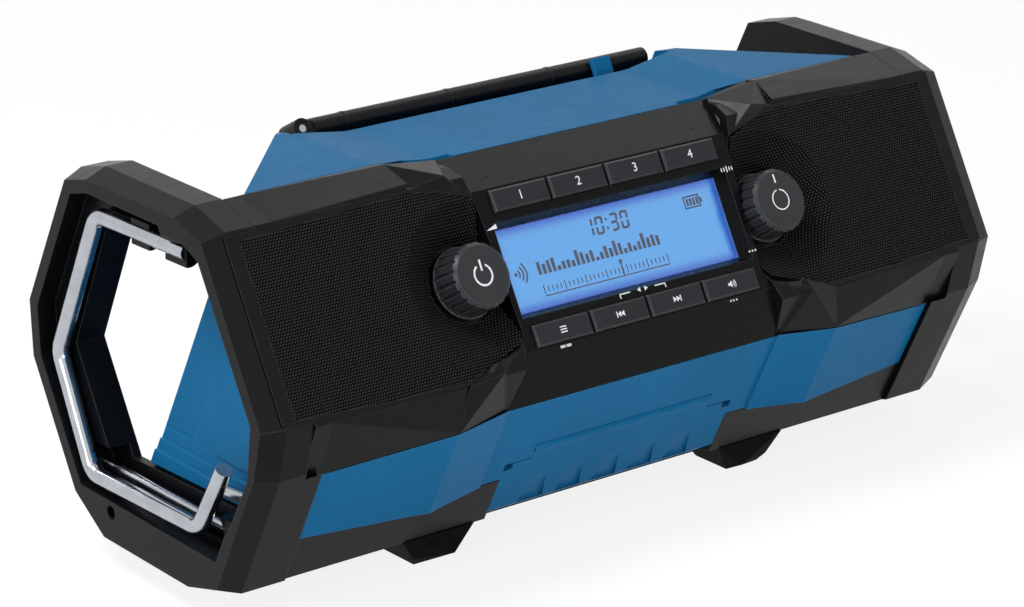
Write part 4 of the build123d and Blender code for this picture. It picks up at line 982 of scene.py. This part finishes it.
class RADIO_OT_knob_marks(bpy.types.Operator):
    """Marks the knob caps: a standby sign on one, a pointer on the other"""

    bl_idname = "radio.knob_marks"
    bl_label = "Knob marks"

    def execute(self, context):
        standby = strips([arc(3.9, 0.75, -240, 60)]) + [bar(0.0, 3.6, 0.8, 4.2)]
        pointer = strips([arc(3.9, 0.5, 100, 440, 36)]) + [bar(0.0, 8.4, 0.7, 3.4)]
        for knob, x, loops in (("volume", -KNOB_X, standby), ("tuning", KNOB_X, pointer)):
            cap = on_front(x, KNOB_FRONT, 0.0)
            sign = film(knob + "_cap_sign", loops, cap, finish(white_ink))
            settle(sign, knob + "_knob_body")
        return {"FINISHED"}


class RADIO_OT_panel_marks(bpy.types.Operator):
    """Prints generic signs on the panel beside the knobs and the lower keys"""

    bl_idname = "radio.panel_marks"
    bl_label = "Panel marks"

    def execute(self, context):
        stroke = context.scene.radio_marks.stroke / MM
        wedge = [[(-2.4, -0.8), (2.4, -0.8), (2.4, 1.0)]]
        ticks = []
        for step in (-2, -1, 0, 1, 2):
            ticks.append(bar(1.3 * step, 0.0, stroke, 2.4 if step == 0 else 1.5))
        dots = [bar(1.5 * step, 0.0, 0.7, 0.7) for step in (-1, 0, 1)]
        dashes = [bar(-1.4, 0.0, 2.2, 1.0), bar(1.4, 0.0, 2.2, 1.0)]
        scan = [bar(-8.5, 0.0, 5.0, stroke), bar(8.5, 0.0, 5.0, stroke)]
        scan += [bar(-11.0, -0.8, stroke, 1.6), bar(11.0, -0.8, stroke, 1.6)]
        scan += [[(-2.6, 0.0), (-1.0, 0.9), (-1.0, -0.9)], [(2.6, 0.0), (1.0, 0.9), (1.0, -0.9)]]
        marks = {
            "volume_mark": (wedge, -57.6, 16.6, 0.0),
            "tuning_mark": (ticks, 57.4, 17.0, 0.0),
            "press_mark": (dots, 57.2, -15.6, 0.0),
            "scan_mark": (scan, 0.6, -18.9, 0.0),
            "pair_mark": (dashes, -41.2, -31.9, PANEL_FOOT_SINK),
            "menu_mark": (dots, 41.2, -31.9, PANEL_FOOT_SINK),
        }
        for name, (loops, x, z, sink) in marks.items():
            sign = film(name, loops, on_front(x, PANEL_DEPTH + sink, z), finish(white_ink))
            settle(sign, "radio_body")
        return {"FINISHED"}


class RADIO_OT_drive_recesses(bpy.types.Operator):
    """Puts a six-lobed drive recess, a flat patch of painted shade, on each screw head"""

    bl_idname = "radio.drive_recesses"
    bl_label = "Screw recesses"

    def execute(self, context):
        tree = recess_tree()
        wide, high = CASE_SCREW_SPREAD
        depth = CASE_SCREW_DEPTH + RECESS_LIFT
        rear = [spot(x, depth, z) for x in (-wide, wide) for z in (-high, high)]
        groups = {"case_screw_recesses": (rear, INTO_FACE)}
        for side, sign in (("left", -1.0), ("right", 1.0)):
            head = spot(sign * (RING_SCREW_X + RECESS_LIFT), *RING_SCREW)
            groups[side + "_ring_screw_recesses"] = ([head], Vector((sign, 0.0, 0.0)))
        for name, (heads, axis) in groups.items():
            values = {"Radius": RECESS_RADIUS * MM, "Axis": axis, "Material": finish(painted_hole_shade)}
            recesses = grown(name, points_mesh(name, heads), tree, values)
            settle(recesses, "radio_body")
        return {"FINISHED"}


class RADIO_OT_aerial_rings(bpy.types.Operator):
    """Adds the raised rings where the aerial's sections meet"""

    bl_idname = "radio.aerial_rings"
    bl_label = "Aerial rings"

    def execute(self, context):
        values = {
            "Count": 3,
            "Start": spot(AERIAL_RING_START, *AERIAL_LINE),
            "Step": Vector((AERIAL_RING_PITCH * MM, 0.0, 0.0)),
            "Radius": (AERIAL_RADIUS + AERIAL_RING_PROUD) * MM,
            "Width": AERIAL_RING_WIDTH * MM,
            "Material": finish(black_nylon),
        }
        rings = grown("aerial_rings", bpy.data.meshes.new("start"), ring_tree(), values)
        settle(rings, "aerial_body")
        return {"FINISHED"}


def area_light(name, place, size, power):
    """A soft rectangular lamp aimed at the radio."""
    lamp = bpy.data.lights.new(name, "AREA")
    lamp.shape = "RECTANGLE"
    lamp.size, lamp.size_y = size
    lamp.energy = power
    item = bpy.data.objects.new(name, lamp)
    bpy.context.scene.collection.objects.link(item)
    item.location = place
    aim = Vector(LAMP_TARGET) - Vector(place)
    item.rotation_euler = aim.to_track_quat("-Z", "Y").to_euler()


class RADIO_OT_stage(bpy.types.Operator):
    """Sets the floor, the soft lamps, the surround and the camera"""

    bl_idname = "radio.stage"
    bl_label = "Stage"

    def execute(self, context):
        scene = context.scene
        settings = scene.radio_stage
        floor = bpy.data.meshes.new("floor")
        signs = ((-1, -1), (1, -1), (1, 1), (-1, 1))
        corners = [(u * FLOOR_REACH, v * FLOOR_REACH, 0.0) for u, v in signs]
        floor.from_pydata(corners, [], [(0, 1, 2, 3)])
        link("floor", floor, stage_paint())
        for name, (place, size) in LAMPS.items():
            area_light(name + "_lamp", place, size, getattr(settings, name))

        world = bpy.data.worlds.new("white_surround")
        scene.world = world
        world.use_nodes = True
        tree = world.node_tree
        tree.nodes.clear()
        chosen = {0: backdrop_seen(tree)}
        for place, strength in ((1, settings.sky), (2, 1.0)):
            level = {"Color": srgb("#ffffff"), "Strength": strength}
            chosen[place] = add(tree, "ShaderNodeBackground", level)
        chosen = add(tree, "ShaderNodeMixShader", chosen)
        add(tree, "ShaderNodeOutputWorld", {"Surface": chosen})

        camera = bpy.data.cameras.new("camera")
        camera.sensor_width = CAMERA_SENSOR
        camera.lens = CAMERA_LENS
        camera.clip_end = CAMERA_REACH
        item = bpy.data.objects.new("camera", camera)
        scene.collection.objects.link(item)
        right = Vector(CAMERA_RIGHT).normalized()
        forward = Vector(CAMERA_FORWARD).normalized()
        turn = Matrix((right, right.cross(forward), -forward)).transposed().to_4x4()
        item.matrix_world = Matrix.Translation(CAMERA_PLACE) @ turn
        scene.camera = item
        scene.view_settings.view_transform = "Standard"
        return {"FINISHED"}


class RADIO_PT_panel(bpy.types.Panel):
    """Lists the sizes, the light levels and the steps that dress the radio."""

    bl_idname = "RADIO_PT_panel"
    bl_label = "Jobsite radio"
    bl_space_type = "VIEW_3D"
    bl_region_type = "UI"
    bl_category = "Radio"

    def draw(self, context):
        column = self.layout.column()
        for settings, names in (
            (context.scene.radio_grille, ("pitch", "hole")),
            (context.scene.radio_marks, ("height", "stroke")),
            (context.scene.radio_stage, ("key", "rim", "side", "fill", "sky")),
        ):
            for name in names:
                column.prop(settings, name)
        for step in STEPS:
            column.operator(step.bl_idname)


SETTINGS = {
    "radio_grille": RadioGrilleSettings,
    "radio_marks": RadioMarkSettings,
    "radio_stage": RadioStageSettings,
}
STEPS = [
    RADIO_OT_stage,
    RADIO_OT_finishes,
    RADIO_OT_perforations,
    RADIO_OT_display,
    RADIO_OT_button_marks,
    RADIO_OT_knob_marks,
    RADIO_OT_panel_marks,
    RADIO_OT_drive_recesses,
    RADIO_OT_aerial_rings,
]


def register():
    for name, group in SETTINGS.items():
        bpy.utils.register_class(group)
        setattr(bpy.types.Scene, name, bpy.props.PointerProperty(type=group))
    for step in STEPS:
        bpy.utils.register_class(step)
    bpy.utils.register_class(RADIO_PT_panel)


def unregister():
    bpy.utils.unregister_class(RADIO_PT_panel)
    for step in reversed(STEPS):
        bpy.utils.unregister_class(step)
    for name, group in SETTINGS.items():
        delattr(bpy.types.Scene, name)
        bpy.utils.unregister_class(group)


def main():
    register()
    for step in STEPS:
        family, action = step.bl_idname.split(".")
        getattr(getattr(bpy.ops, family), action)()


if __name__ == "__main__":
    main()
